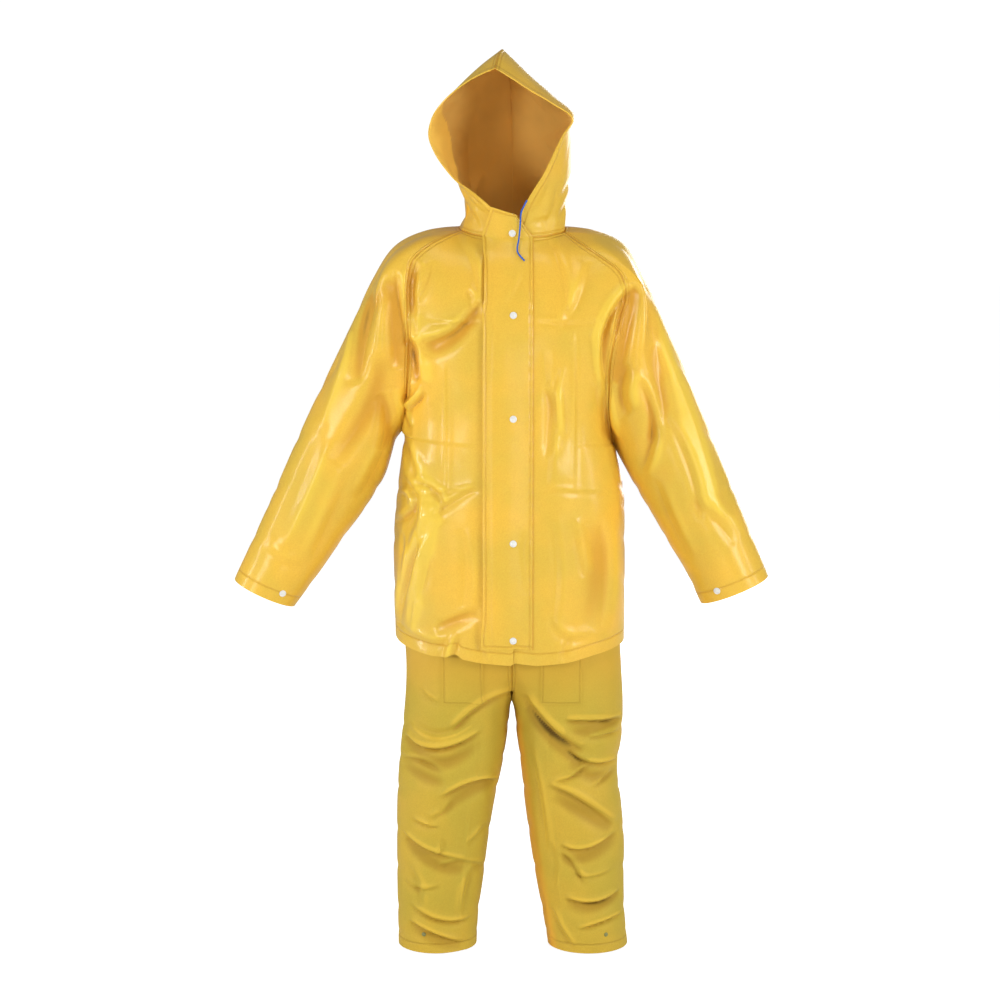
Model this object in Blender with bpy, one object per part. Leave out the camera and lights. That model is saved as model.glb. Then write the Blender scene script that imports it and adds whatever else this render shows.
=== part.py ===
"""Hooded rain suit, a jacket with trousers, worn and hollow, in metres.

The origin is where the wearer's shoulders hold the jacket, at the height of the neck seam.
+Z is up, the front faces -Y and the wearer's left is +X. "out" is a distance sideways from
the middle of the garment, positive on both sides.
"""
import math

import bpy
import numpy as np

# Cloth and seams, in metres
WALL = 0.002
SEAM_GAP = 0.0006
LAYER_GAP = 0.0004
CREASE_ANGLE = 40
# The way in which two outer points of a seam are compared, so that neighbours agree
STRIP_ORDER = (1.0, 2.0, 3.0)

# Folds: how fast they fade where the cloth turns away, their reach in widths, and their line
FACING_GAIN = 2.5
FOLD_REACH = 3.0
FOLD_LINE_POINTS = 9

# Least distance that still counts when a fastener's place is weighed from a face's corners
CORNER_SOFTENING = 0.0001

# The two sides, as the sign of their x
WEARERS_RIGHT = -1
WEARERS_LEFT = 1
SIDES = {"right": WEARERS_RIGHT, "left": WEARERS_LEFT}

# Jacket
MIDDLE_X = 0.002
HEM_BAND = 0.023
NECK_HEIGHTS = {"front": -0.012, "back": 0.012}
COMMON_UNDERARM = -0.400
ROWS_BELOW_ARMHOLE = 11
ROWS_OF_ARMHOLE = 9
FRONT_COLUMNS_FROM_MIDDLE = (0.0, 0.018, 0.037, 0.057)
FRONT_COLUMNS_TO_SIDE = 5
BACK_COLUMNS = 8
SLEEVE_RINGS = 16
SLEEVE_RING_CROWDING = 0.9
SLEEVE_TOP_ANGLE = 20.0
ARMHOLE_FADE = 0.42
HOOD_ROWS = 12
HOOD_FULLEST = 0.8
HOOD_INSIDE = (0.0, 0.0, 0.14)

# Storm flap
FLAP_TOP_ROWS = (0.45, 1.0)
FLAP_TOP_NEAR = (0.008, -0.110, 0.031)
FLAP_TOP_FAR = (-0.040, -0.1105, 0.046)
FLAP_FREE_LIFT = (0.004, 0.0013)

# Trousers
CROTCH_HEIGHT = -0.925
LEG_HEM_HEIGHT = -1.422
TROUSER_TOP_HEIGHT = -0.470
TROUSER_ROWS_ABOVE_CROTCH = 12
TROUSER_ROWS_BELOW_CROTCH = 14
TROUSER_COLUMNS = 8
TROUSER_FRONT_OUTS = (0.0275, 0.055, 0.095, 0.135)
UPRIGHT_COLUMNS_FADE = 0.20
LEG_AXIS_OUT = 0.12
WAISTBAND_HEIGHTS = (0.0, 0.020, 0.040)
WAISTBAND_SWELL = (0.0, 1.0, 0.4)
WAISTBAND_GATHER_DEPTH = 0.003

# Snap fasteners and drawstring
SNAP_RADIUS = 0.0065
CAP_RADIUS_SHARES = (0.96, 1.0, 0.90, 0.55)
CAP_HEIGHTS = (0.0, 0.00098, 0.0021, 0.0028)
CAP_TIP_RISE = 0.000336
SNAP_SEGMENTS = 12
SNAP_STANDOFF = 0.0004
STUD_RADIUS = 0.0040
CORD_DIAMETER = 0.003
CORD_POINTS = 22


def table(columns, *rows):
    """A table as a dictionary from each column's name to its values, top row first."""
    return dict(zip(columns.split(), np.array(rows, float).T))


# Reach of the torso at each height: to the wearer's right and left, and to the front and back
TORSO = table(
    "height right left front back",
    (-0.820, 0.228, 0.221, 0.168, 0.150),
    (-0.700, 0.230, 0.222, 0.166, 0.148),
    (-0.600, 0.231, 0.221, 0.163, 0.145),
    (-0.500, 0.223, 0.218, 0.160, 0.143),
    (-0.400, 0.210, 0.198, 0.157, 0.145),
    (-0.300, 0.205, 0.190, 0.152, 0.150),
    (-0.200, 0.200, 0.190, 0.148, 0.152),
    (-0.100, 0.190, 0.190, 0.133, 0.142),
    (-0.050, 0.150, 0.150, 0.117, 0.122),
    (-0.012, 0.100, 0.100, 0.098, 0.100),
    (0.012, 0.098, 0.098, 0.098, 0.085),
)

# Height of the jacket's hem at the middle of the front and back and at the side seams
HEM_HEIGHTS = {"front": -0.815, "back": -0.802, "right": -0.785, "left": -0.800}

# Armhole seam on the front and on the back of each side, from the neck to under the arm
ARMHOLE = {
    ("right", "front"): table(
        "out y height",
        (0.097, -0.042, 0.001),
        (0.128, -0.078, -0.010),
        (0.158, -0.096, -0.026),
        (0.186, -0.108, -0.052),
        (0.197, -0.112, -0.095),
        (0.198, -0.108, -0.150),
        (0.197, -0.097, -0.215),
        (0.202, -0.070, -0.310),
        (0.214, -0.004, -0.385),
    ),
    ("right", "back"): table(
        "out y height",
        (0.093, 0.036, 0.008),
        (0.122, 0.078, -0.006),
        (0.154, 0.104, -0.028),
        (0.180, 0.118, -0.066),
        (0.188, 0.122, -0.120),
        (0.190, 0.116, -0.190),
        (0.197, 0.088, -0.290),
        (0.214, -0.004, -0.385),
    ),
    ("left", "front"): table(
        "out y height",
        (0.099, -0.042, -0.002),
        (0.134, -0.082, -0.026),
        (0.170, -0.098, -0.050),
        (0.202, -0.106, -0.076),
        (0.214, -0.110, -0.112),
        (0.203, -0.110, -0.170),
        (0.188, -0.100, -0.240),
        (0.186, -0.072, -0.330),
        (0.197, -0.004, -0.415),
    ),
    ("left", "back"): table(
        "out y height",
        (0.093, 0.036, 0.008),
        (0.122, 0.078, -0.006),
        (0.154, 0.104, -0.028),
        (0.180, 0.118, -0.066),
        (0.188, 0.122, -0.120),
        (0.188, 0.116, -0.200),
        (0.188, 0.086, -0.310),
        (0.197, -0.004, -0.415),
    ),
}

# How far each torso row turns around the body, in degrees, along the armhole from neck to underarm
ARMHOLE_TURN = table(
    "place front back",
    (0.0, 66, 62),
    (0.3, 52, 54),
    (0.6, 58, 58),
    (0.85, 72, 72),
    (1.0, 90, 90),
)

# Sleeve rings from the armhole to the cuff: the top line, the line under the arm, the way
# forward of the ring's middle, and its half depths
SLEEVE = {
    "right": table(
        "place top_out top_height under_out under_height forward front back",
        (0.0, 0.102, 0.006, 0.214, -0.385, -0.004, 0.100, 0.100),
        (0.1, 0.165, 0.000, 0.218, -0.392, -0.004, 0.104, 0.104),
        (0.2, 0.226, -0.030, 0.223, -0.402, -0.005, 0.104, 0.104),
        (0.3, 0.268, -0.092, 0.230, -0.418, -0.006, 0.100, 0.102),
        (0.4, 0.308, -0.176, 0.237, -0.443, -0.008, 0.094, 0.098),
        (0.5, 0.348, -0.258, 0.247, -0.473, -0.010, 0.088, 0.092),
        (0.6, 0.392, -0.348, 0.265, -0.505, -0.014, 0.083, 0.087),
        (0.7, 0.432, -0.436, 0.292, -0.546, -0.018, 0.078, 0.082),
        (0.8, 0.469, -0.520, 0.328, -0.594, -0.023, 0.072, 0.076),
        (0.9, 0.506, -0.600, 0.373, -0.659, -0.028, 0.065, 0.068),
        (1.0, 0.541, -0.674, 0.424, -0.728, -0.033, 0.058, 0.060),
    ),
    "left": table(
        "place top_out top_height under_out under_height forward front back",
        (0.0, 0.102, 0.006, 0.197, -0.415, -0.004, 0.100, 0.100),
        (0.1, 0.160, 0.000, 0.201, -0.422, -0.004, 0.104, 0.104),
        (0.2, 0.218, -0.028, 0.207, -0.433, -0.005, 0.104, 0.104),
        (0.3, 0.254, -0.090, 0.215, -0.448, -0.006, 0.100, 0.102),
        (0.4, 0.290, -0.165, 0.226, -0.468, -0.008, 0.094, 0.098),
        (0.5, 0.326, -0.247, 0.240, -0.494, -0.010, 0.088, 0.092),
        (0.6, 0.365, -0.340, 0.258, -0.524, -0.014, 0.084, 0.087),
        (0.7, 0.401, -0.430, 0.279, -0.558, -0.018, 0.079, 0.082),
        (0.8, 0.435, -0.512, 0.304, -0.602, -0.023, 0.073, 0.076),
        (0.9, 0.469, -0.594, 0.338, -0.657, -0.028, 0.066, 0.069),
        (1.0, 0.500, -0.668, 0.369, -0.722, -0.033, 0.060, 0.062),
    ),
}

# Edge of the hood's opening on each side, from the throat to the peak over the brow
HOOD_EDGE = {
    "right": table(
        "x y height",
        (0.002, -0.098, -0.012),
        (-0.014, -0.1025, 0.020),
        (-0.042, -0.108, 0.047),
        (-0.081, -0.100, 0.078),
        (-0.104, -0.090, 0.093),
        (-0.126, -0.078, 0.117),
        (-0.146, -0.068, 0.146),
        (-0.158, -0.062, 0.180),
        (-0.151, -0.066, 0.212),
        (-0.135, -0.074, 0.236),
        (-0.107, -0.085, 0.262),
        (-0.072, -0.098, 0.285),
        (-0.032, -0.110, 0.302),
    ),
    "left": table(
        "x y height",
        (0.002, -0.096, -0.012),
        (0.013, -0.100, 0.024),
        (0.025, -0.110, 0.052),
        (0.041, -0.120, 0.079),
        (0.057, -0.127, 0.104),
        (0.070, -0.129, 0.130),
        (0.082, -0.128, 0.155),
        (0.096, -0.126, 0.181),
        (0.112, -0.122, 0.205),
        (0.071, -0.120, 0.239),
        (0.033, -0.117, 0.261),
        (-0.004, -0.113, 0.285),
        (-0.032, -0.110, 0.302),
    ),
}

# Ridge seam of the hood from the peak over the crown, and the seam down its back to the nape
HOOD_RIDGE = table(
    "x y height",
    (-0.032, -0.110, 0.302),
    (-0.026, -0.070, 0.328),
    (-0.019, -0.018, 0.342),
    (-0.010, 0.045, 0.331),
    (-0.004, 0.095, 0.292),
    (0.000, 0.124, 0.235),
)
HOOD_BACK = table(
    "x y height",
    (0.002, 0.085, 0.012),
    (0.002, 0.104, 0.070),
    (0.002, 0.120, 0.140),
    (0.001, 0.127, 0.190),
    (0.000, 0.124, 0.235),
)

# Extra fullness of each hood half, sideways and upwards
HOOD_FULLNESS = {"right": (0.026, -0.012), "left": (0.014, -0.008)}

# Trouser leg at each height: reach outwards and inwards, half depths, and its middle's y
LEG = {
    "right": table(
        "height outer inner front back middle",
        (-0.470, 0.162, -0.162, 0.112, 0.112, 0.000),
        (-0.540, 0.182, -0.180, 0.118, 0.116, -0.004),
        (-0.620, 0.206, -0.190, 0.122, 0.120, -0.004),
        (-0.700, 0.2270, -0.175, 0.124, 0.122, -0.004),
        (-0.780, 0.213, -0.120, 0.124, 0.122, -0.002),
        (-0.850, 0.208, -0.060, 0.120, 0.122, 0.000),
        (-0.925, 0.211, 0.000, 0.112, 0.122, 0.000),
        (-0.965, 0.215, 0.005, 0.107, 0.117, 0.002),
        (-1.046, 0.223, 0.017, 0.099, 0.108, 0.004),
        (-1.128, 0.228, 0.034, 0.092, 0.100, 0.006),
        (-1.210, 0.229, 0.047, 0.086, 0.092, 0.008),
        (-1.292, 0.229, 0.057, 0.082, 0.086, 0.010),
        (-1.355, 0.228, 0.066, 0.080, 0.083, 0.010),
        (-1.420, 0.227, 0.070, 0.078, 0.080, 0.010),
    ),
    "left": table(
        "height outer inner front back middle",
        (-0.470, 0.162, -0.162, 0.112, 0.112, 0.000),
        (-0.540, 0.180, -0.180, 0.118, 0.116, -0.004),
        (-0.620, 0.202, -0.190, 0.122, 0.120, -0.004),
        (-0.700, 0.2195, -0.175, 0.124, 0.122, -0.004),
        (-0.780, 0.213, -0.120, 0.124, 0.122, -0.002),
        (-0.850, 0.216, -0.060, 0.120, 0.122, 0.000),
        (-0.925, 0.220, 0.000, 0.112, 0.122, 0.000),
        (-0.985, 0.219, 0.009, 0.106, 0.115, 0.002),
        (-1.060, 0.210, 0.019, 0.098, 0.107, 0.004),
        (-1.128, 0.218, 0.026, 0.092, 0.100, 0.006),
        (-1.210, 0.225, 0.037, 0.086, 0.093, 0.008),
        (-1.292, 0.225, 0.050, 0.082, 0.087, 0.010),
        (-1.355, 0.227, 0.062, 0.080, 0.083, 0.010),
        (-1.420, 0.233, 0.073, 0.078, 0.080, 0.010),
    ),
}

# Largest folds, seen from the front: from, bend and to in x and height, half width and depth;
# a minus depth is a ridge
FRONT_FOLDS = table(
    "from_x from_z bend_x bend_z to_x to_z width depth",
    (-0.196, -0.225, -0.118, -0.205, -0.062, -0.132, 0.016, 0.007),
    (-0.170, -0.060, -0.188, -0.110, -0.185, -0.160, 0.014, 0.007),
    (-0.230, -0.090, -0.290, -0.190, -0.300, -0.290, 0.016, 0.007),
    (-0.228, -0.085, -0.222, -0.190, -0.214, -0.260, 0.014, 0.008),
    (-0.250, -0.230, -0.270, -0.330, -0.345, -0.440, 0.020, 0.008),
    (0.236, -0.100, 0.214, -0.190, 0.196, -0.290, 0.014, 0.009),
    (0.262, -0.215, 0.286, -0.330, 0.262, -0.400, 0.016, 0.008),
    (0.300, -0.180, 0.350, -0.330, 0.400, -0.500, 0.020, -0.006),
    (-0.150, -0.515, -0.185, -0.640, -0.214, -0.760, 0.020, -0.009),
    (-0.212, -0.410, -0.180, -0.500, -0.140, -0.560, 0.016, -0.007),
    (-0.146, -0.760, -0.110, -0.740, -0.060, -0.722, 0.014, 0.006),
    (0.150, -0.550, 0.160, -0.650, 0.140, -0.760, 0.022, 0.006),
    (-0.212, -0.990, -0.140, -1.030, -0.060, -0.985, 0.015, 0.009),
    (-0.215, -1.040, -0.170, -1.062, -0.130, -1.070, 0.014, 0.008),
    (-0.140, -1.130, -0.080, -1.090, -0.035, -1.085, 0.014, 0.008),
    (-0.212, -1.195, -0.150, -1.240, -0.080, -1.255, 0.014, 0.009),
    (-0.205, -1.370, -0.150, -1.400, -0.090, -1.415, 0.012, 0.006),
    (0.030, -0.920, 0.090, -0.990, 0.150, -1.030, 0.018, 0.009),
    (0.100, -0.965, 0.150, -0.965, 0.214, -0.950, 0.014, 0.008),
    (0.110, -1.030, 0.160, -1.060, 0.206, -1.055, 0.014, 0.008),
    (0.080, -1.100, 0.140, -1.135, 0.205, -1.180, 0.014, 0.009),
    (0.090, -1.225, 0.150, -1.225, 0.212, -1.190, 0.014, 0.008),
    (0.105, -1.325, 0.160, -1.330, 0.216, -1.310, 0.014, 0.007),
)
BACK_FOLDS = table(
    "from_x from_z bend_x bend_z to_x to_z width depth",
    (-0.190, -0.230, -0.110, -0.240, -0.050, -0.200, 0.018, 0.008),
    (0.190, -0.250, 0.120, -0.250, 0.060, -0.215, 0.018, 0.008),
    (-0.240, -0.240, -0.280, -0.330, -0.350, -0.430, 0.020, 0.008),
    (0.250, -0.220, 0.280, -0.330, 0.340, -0.440, 0.020, 0.008),
    (-0.140, -0.430, -0.170, -0.590, -0.160, -0.760, 0.024, 0.007),
    (0.130, -0.450, 0.160, -0.600, 0.170, -0.770, 0.024, 0.007),
    (-0.200, -1.000, -0.130, -1.040, -0.050, -1.000, 0.016, 0.009),
    (-0.205, -1.110, -0.140, -1.130, -0.060, -1.100, 0.015, 0.008),
    (-0.210, -1.240, -0.150, -1.270, -0.080, -1.250, 0.015, 0.008),
    (0.040, -0.980, 0.120, -1.030, 0.205, -1.000, 0.016, 0.009),
    (0.060, -1.110, 0.130, -1.140, 0.205, -1.100, 0.015, 0.008),
    (0.080, -1.250, 0.150, -1.270, 0.210, -1.235, 0.015, 0.008),
)

# Snap fasteners on the storm flap, by height, and their one x
FLAP_SNAP_X = 0.000
FLAP_SNAP_HEIGHTS = (-0.004, -0.155, -0.351, -0.585, -0.773)
# Snaps on the cuffs, by the column of the sleeve, and studs on the trouser legs
CUFF_SNAP_COLUMN = 6
LEG_STUD_X = {"right": -0.173, "left": 0.187}
LEG_STUD_HEIGHT = -1.385

# Pocket on the front of each thigh: its two sides by column, its bottom height and its top height
POCKET_COLUMNS = (2, 4)
POCKET_TOP_ROW = 8
POCKET_BOTTOM_ROW = 11

# Route of the drawstring's free end from its casing in the hood's edge
CORD_ROUTE = table(
    "x y height",
    (0.0275, -0.1144, 0.0585),
    (0.0225, -0.1132, 0.0485),
    (0.0170, -0.1122, 0.0360),
    (0.0155, -0.1106, 0.0225),
    (0.0148, -0.1080, 0.0095),
    (0.0135, -0.1058, -0.0045),
    (0.0120, -0.1062, -0.0170),
    (0.0095, -0.1128, -0.0300),
    (0.0105, -0.1172, -0.0390),
    (0.0165, -0.1208, -0.0470),
    (0.0230, -0.1238, -0.0540),
)

COLOURS = {
    "jacket": ((0.93, 0.56, 0.03, 1.0), 0.30, 0.0),
    "trousers": ((0.68, 0.42, 0.04, 1.0), 0.55, 0.0),
    "snap": ((0.85, 0.85, 0.82, 1.0), 0.35, 0.0),
    "stud": ((0.28, 0.30, 0.10, 1.0), 0.45, 0.0),
    "cord": ((0.01, 0.10, 0.80, 1.0), 0.60, 0.0),
}


def through(knots, values, at):
    """A smooth curve through rows of a table.

    Each span is a cubic whose slopes at its ends are those of its neighbours' chords.
    """
    knots = np.asarray(knots, float)
    values = np.asarray(values, float)
    at = np.clip(np.asarray(at, float), knots[0], knots[-1])
    slopes = np.gradient(values, knots, axis=0)
    span = np.clip(np.searchsorted(knots, at) - 1, 0, len(knots) - 2)
    length = knots[span + 1] - knots[span]
    part = (at - knots[span]) / length
    if values.ndim == 2:
        part = part[..., None]
        length = length[..., None]
    square = part * part
    cube = square * part
    return (
        (2 * cube - 3 * square + 1) * values[span]
        + (cube - 2 * square + part) * length * slopes[span]
        + (3 * square - 2 * cube) * values[span + 1]
        + (cube - square) * length * slopes[span + 1]
    )


def read(rows, column, at):
    """The column's values where the table's first column has the values `at`."""
    first = next(iter(rows.values()))
    return through(first, rows[column], at)


def route(rows, side=1):
    """The points of a table with three columns of places, mirrored for the wearer's right."""
    across, along, up = rows.values()
    return np.stack([side * across, along, up], axis=-1)


def length_places(points):
    """The fraction of a line's length at each of its points."""
    steps = np.linalg.norm(np.diff(points, axis=0), axis=1)
    return np.concatenate([[0.0], np.cumsum(steps) / np.sum(steps)])


def along_route(points, places):
    """Points at fractions of a route's length, on the smooth curve through its points."""
    return through(length_places(points), points, places)


def unit(vectors):
    """Vectors of length one."""
    return vectors / np.maximum(np.linalg.norm(vectors, axis=-1, keepdims=True), 1e-12)


def smooth(part):
    """A step from 0 to 1 with level ends."""
    part = np.clip(part, 0.0, 1.0)
    return part * part * (3 - 2 * part)


def jacket_places():
    """Places of the jacket's rows: below the armhole as heights, on it as places from the neck."""
    below = np.linspace(0.0, 1.0, ROWS_BELOW_ARMHOLE)
    armhole = np.linspace(1.0, 0.0, ROWS_OF_ARMHOLE + 1)
    return below, armhole


def torso_rows(side_name, face):
    """The middle points, the end points and the turns of one quarter of the torso's rows.

    Below the armhole a row ends at the side seam, and above it on the armhole seam.
    """
    side = SIDES[side_name]
    seam = route(ARMHOLE[side_name, face], side)
    underarm = seam[-1]
    below, armhole = jacket_places()

    def heights_up_to(hem, top):
        band = hem + HEM_BAND
        return np.concatenate([[hem], band + (top - band) * below])

    heights = heights_up_to(HEM_HEIGHTS[side_name], underarm[2])
    reach = read(TORSO, side_name, heights[:-1])
    side_y = np.full(len(reach), underarm[1])
    side_seam = np.stack([side * reach, side_y, heights[:-1]], axis=-1)
    armhole_seam = along_route(seam, armhole)
    ends = np.concatenate([side_seam, armhole_seam])
    middle_below = heights_up_to(HEM_HEIGHTS[face], COMMON_UNDERARM)
    middle_above = COMMON_UNDERARM + (NECK_HEIGHTS[face] - COMMON_UNDERARM) * (1 - armhole)
    middle_heights = np.concatenate([middle_below[:-1], middle_above])
    depth = read(TORSO, face, middle_heights)
    sign = -1 if face == "front" else 1
    middles = np.stack([np.full_like(depth, MIDDLE_X), sign * depth, middle_heights], axis=-1)
    turns = np.concatenate([
        np.full(len(reach), math.pi / 2),
        np.radians(read(ARMHOLE_TURN, face, armhole)),
    ])
    return middles, ends, turns


def torso_quarter(side_name, face, columns):
    """A quarter of the torso: each row is a stretch of an ellipse from the middle to its end.

    `columns` gives each row's places as fractions of its turn, row by row.
    """
    middles, ends, turns = torso_rows(side_name, face)
    reach = ends - middles
    angle = columns * turns[:, None]
    across = np.sin(angle) / np.sin(turns)[:, None]
    inwards = (1 - np.cos(angle)) / (1 - np.cos(turns))[:, None]
    rise = columns * columns
    return middles[:, None] + np.stack(
        [across * reach[:, :1], inwards * reach[:, 1:2], rise * reach[:, 2:]], axis=-1
    )


def front_columns(side_name):
    """Columns of a front: first at even distances from the middle, then at even turns."""
    middles, ends, turns = torso_rows(side_name, "front")
    reach = np.abs(ends[:, 0] - middles[:, 0])
    near = np.arcsin(np.outer(np.sin(turns) / reach, FRONT_COLUMNS_FROM_MIDDLE)) / turns[:, None]
    places = np.linspace(0, 1, FRONT_COLUMNS_TO_SIDE + 1)[1:]
    far = near[:, -1:] + (1 - near[:, -1:]) * places
    return np.concatenate([near, far], axis=1)


def back_panel():
    """The back in one piece, from the wearer's right side seam to the left one."""
    rows = len(torso_rows("right", "back")[2])
    places = np.tile(np.linspace(0, 1, BACK_COLUMNS + 1), (rows, 1))
    right = torso_quarter("right", "back", places)
    left = torso_quarter("left", "back", places)
    return np.concatenate([right[:, ::-1], left[:, 1:]], axis=1)


def sleeve_tube(side_name):
    """A sleeve: rings from the armhole to the cuff, each an ellipse between its two lines.

    The first ring is the armhole's own loop, and the difference fades out along the sleeve.
    """
    side = SIDES[side_name]
    rows = SLEEVE[side_name]
    armhole = jacket_places()[1][::-1]
    front = along_route(route(ARMHOLE[side_name, "front"], side), armhole)
    back = along_route(route(ARMHOLE[side_name, "back"], side), armhole)
    front_angles = SLEEVE_TOP_ANGLE + (180 - SLEEVE_TOP_ANGLE) * armhole
    angles = np.radians(np.concatenate([[0.0], front_angles, 360 - front_angles[-2::-1]]))
    crest = np.array([[side * rows["top_out"][0], rows["forward"][0], rows["top_height"][0]]])
    loop = np.concatenate([crest, front, back[-2::-1]])
    places = np.linspace(0, 1, SLEEVE_RINGS) ** SLEEVE_RING_CROWDING
    top = np.stack([side * read(rows, "top_out", places), read(rows, "forward", places),
                    read(rows, "top_height", places)], axis=-1)
    under = np.stack([side * read(rows, "under_out", places), read(rows, "forward", places),
                      read(rows, "under_height", places)], axis=-1)
    middle = (top + under) / 2
    half = (top - under) / 2
    depth = np.where(np.sin(angles) > 0, read(rows, "front", places)[:, None],
                     read(rows, "back", places)[:, None])
    ring = middle[:, None] + half[:, None] * np.cos(angles)[None, :, None]
    ring[..., 1] -= depth * np.sin(angles)
    fade = 1 - smooth(places / ARMHOLE_FADE)
    return ring + fade[:, None, None] * (loop - ring[0])


def hood_half(side_name, neck_edge, across):
    """Half of the hood: a patch between its opening, neck, ridge and back seams, made fuller.

    Each point is the mean of the four edges across and along, less that of the four corners.
    """
    up = np.linspace(0, 1, HOOD_ROWS)
    opening = along_route(route(HOOD_EDGE[side_name]), up)
    back = along_route(route(HOOD_BACK), up)
    ridge = along_route(route(HOOD_RIDGE), across)
    opening[0] = neck_edge[0]
    back[0] = neck_edge[-1]
    u = up[:, None, None]
    w = across[None, :, None]
    patch = (
        (1 - w) * opening[:, None] + w * back[:, None]
        + (1 - u) * neck_edge[None] + u * ridge[None]
        - (1 - u) * (1 - w) * neck_edge[0] - (1 - u) * w * neck_edge[-1]
        - u * (1 - w) * ridge[0] - u * w * ridge[-1]
    )
    sideways, upwards = HOOD_FULLNESS[side_name]
    swell_up = np.sin(math.pi * up ** HOOD_FULLEST)
    swell_across = np.sin(math.pi * across ** HOOD_FULLEST)
    bulge = swell_up[:, None] * swell_across[None]
    patch[..., 0] += sideways * bulge * (1 - up[:, None])
    patch[..., 2] += upwards * bulge
    return patch


def leg_rows():
    """Heights of the trousers' rows, from the waist to the leg hem."""
    above = np.linspace(TROUSER_TOP_HEIGHT, CROTCH_HEIGHT, TROUSER_ROWS_ABOVE_CROTCH)
    below = np.linspace(CROTCH_HEIGHT, LEG_HEM_HEIGHT, TROUSER_ROWS_BELOW_CROTCH + 1)
    return np.concatenate([above, below[1:]])


def leg_panel(side_name, face):
    """Front or back of a trouser leg: each row is a stretch of an ellipse.

    Below the crotch it runs from the inside leg seam to the outside one, and above it from
    the middle of the garment, where the two legs' ellipses meet. The front's columns stand
    upright above the crotch, where the pocket is, and turn evenly down the leg.
    """
    side = SIDES[side_name]
    heights = leg_rows()
    rows = LEG[side_name]
    top_down = {name: -values if name == "height" else values for name, values in rows.items()}
    outer, inner, depth, middle = (
        read(top_down, name, -heights) for name in ("outer", "inner", face, "middle")
    )
    half = (outer - inner) / 2
    centre = (outer + inner) / 2
    first = np.arccos(np.clip(-centre / half, -1, 1))
    angles = first[:, None] * np.linspace(1, 0, TROUSER_COLUMNS + 1)
    if face == "front":
        upright = angles.copy()
        count = len(TROUSER_FRONT_OUTS)
        cosines = (np.array(TROUSER_FRONT_OUTS) - centre[:, None]) / half[:, None]
        upright[:, 1:count + 1] = np.arccos(np.clip(cosines, -1, 1))
        left_over = np.linspace(1, 0, TROUSER_COLUMNS - count + 1)
        upright[:, count:] = upright[:, count:count + 1] * left_over
        share = smooth((CROTCH_HEIGHT - heights) / UPRIGHT_COLUMNS_FADE)[:, None]
        angles = (1 - share) * upright + share * angles
    sign = -1 if face == "front" else 1
    return np.stack([
        side * (centre[:, None] + half[:, None] * np.cos(angles)),
        middle[:, None] + sign * depth[:, None] * np.sin(angles),
        np.repeat(heights[:, None], TROUSER_COLUMNS + 1, axis=1),
    ], axis=-1)


def grid_normals(points, inside, around=False):
    """Unit normals of a grid, across its two directions' slopes, pointing away from `inside`."""
    if around:
        across = np.roll(points, -1, axis=1) - np.roll(points, 1, axis=1)
    else:
        across = np.gradient(points, axis=1)
    along = np.gradient(points, axis=0)
    normals = unit(np.cross(across, along))
    if np.sum(normals * (points - inside)) < 0:
        normals = -normals
    return normals


def share_normals(grids, normals):
    """Give points that lie on one seam the mean of their pieces' normals."""
    points = np.concatenate([grid.reshape(-1, 3) for grid in grids.values()])
    stacked = np.concatenate([normals[name].reshape(-1, 3) for name in grids])
    places = np.round(points * 1e6).astype(np.int64)
    same = np.unique(places, axis=0, return_inverse=True)[1].ravel()
    total = np.zeros((same.max() + 1, 3))
    np.add.at(total, same, stacked)
    shared = unit(total)[same]
    begin = 0
    for name, grid in grids.items():
        size = grid.shape[0] * grid.shape[1]
        normals[name] = shared[begin:begin + size].reshape(grid.shape)
        begin += size


def fold_depths(points, normals, folds, face_sign):
    """How far each point sinks under the folds of one face, seen from that face.

    A fold is a bent line. Its depth falls off with the distance from it as a bell curve, and
    fades to nothing at both its ends.
    """
    place = points[..., [0, 2]].reshape(-1, 2)
    facing = np.clip(face_sign * normals[..., 1].reshape(-1) * FACING_GAIN, 0, 1)
    depth = np.zeros(len(place))
    steps = np.linspace(0, 1, FOLD_LINE_POINTS)[:, None]
    for row in zip(*folds.values()):
        start, bend, end = np.array(row[:6]).reshape(3, 2)
        width, fold_depth = row[6:]
        line = (1 - steps) ** 2 * start + 2 * steps * (1 - steps) * bend + steps ** 2 * end
        chord = line[1:] - line[:-1]
        offset = place[:, None] - line[None, :-1]
        part = np.clip(np.sum(offset * chord, axis=-1) / np.sum(chord ** 2, axis=-1), 0, 1)
        away = np.linalg.norm(offset - part[..., None] * chord, axis=-1)
        nearest = np.argmin(away, axis=1)
        row_index = np.arange(len(place))
        along = (nearest + part[row_index, nearest]) / len(chord)
        distance = away[row_index, nearest] / width
        bell = np.exp(-distance ** 2) - np.exp(-FOLD_REACH ** 2)
        bell = np.where(distance < FOLD_REACH, bell, 0.0)
        depth += fold_depth * bell * np.sqrt(np.clip(4 * along * (1 - along), 0, 1))
    return (depth * facing).reshape(points.shape[:2])


def add_folds(grids, normals):
    """Sink the largest folds of the front and of the back into the pieces."""
    for name, points in grids.items():
        sink = fold_depths(points, normals[name], FRONT_FOLDS, -1)
        sink += fold_depths(points, normals[name], BACK_FOLDS, 1)
        grids[name] = points - sink[..., None] * normals[name]


def trim(points, partner, axis, end):
    """Move one edge of a grid back from its seam, square to the seam, by half the seam's gap."""
    order = [0, 1] if axis == 0 else [1, 0]
    rows = np.transpose(points, order + [2])
    pair = np.transpose(partner, order + [2])
    edge, inner = (0, 1) if end == 0 else (-1, -2)
    tangent = unit(np.gradient(rows[edge], axis=0))
    inwards = rows[inner] - rows[edge]
    inwards = unit(inwards - np.sum(inwards * tangent, axis=-1, keepdims=True) * tangent)
    rows[edge] += inwards * SEAM_GAP / 2
    pair[edge] += inwards * SEAM_GAP / 2


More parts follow.
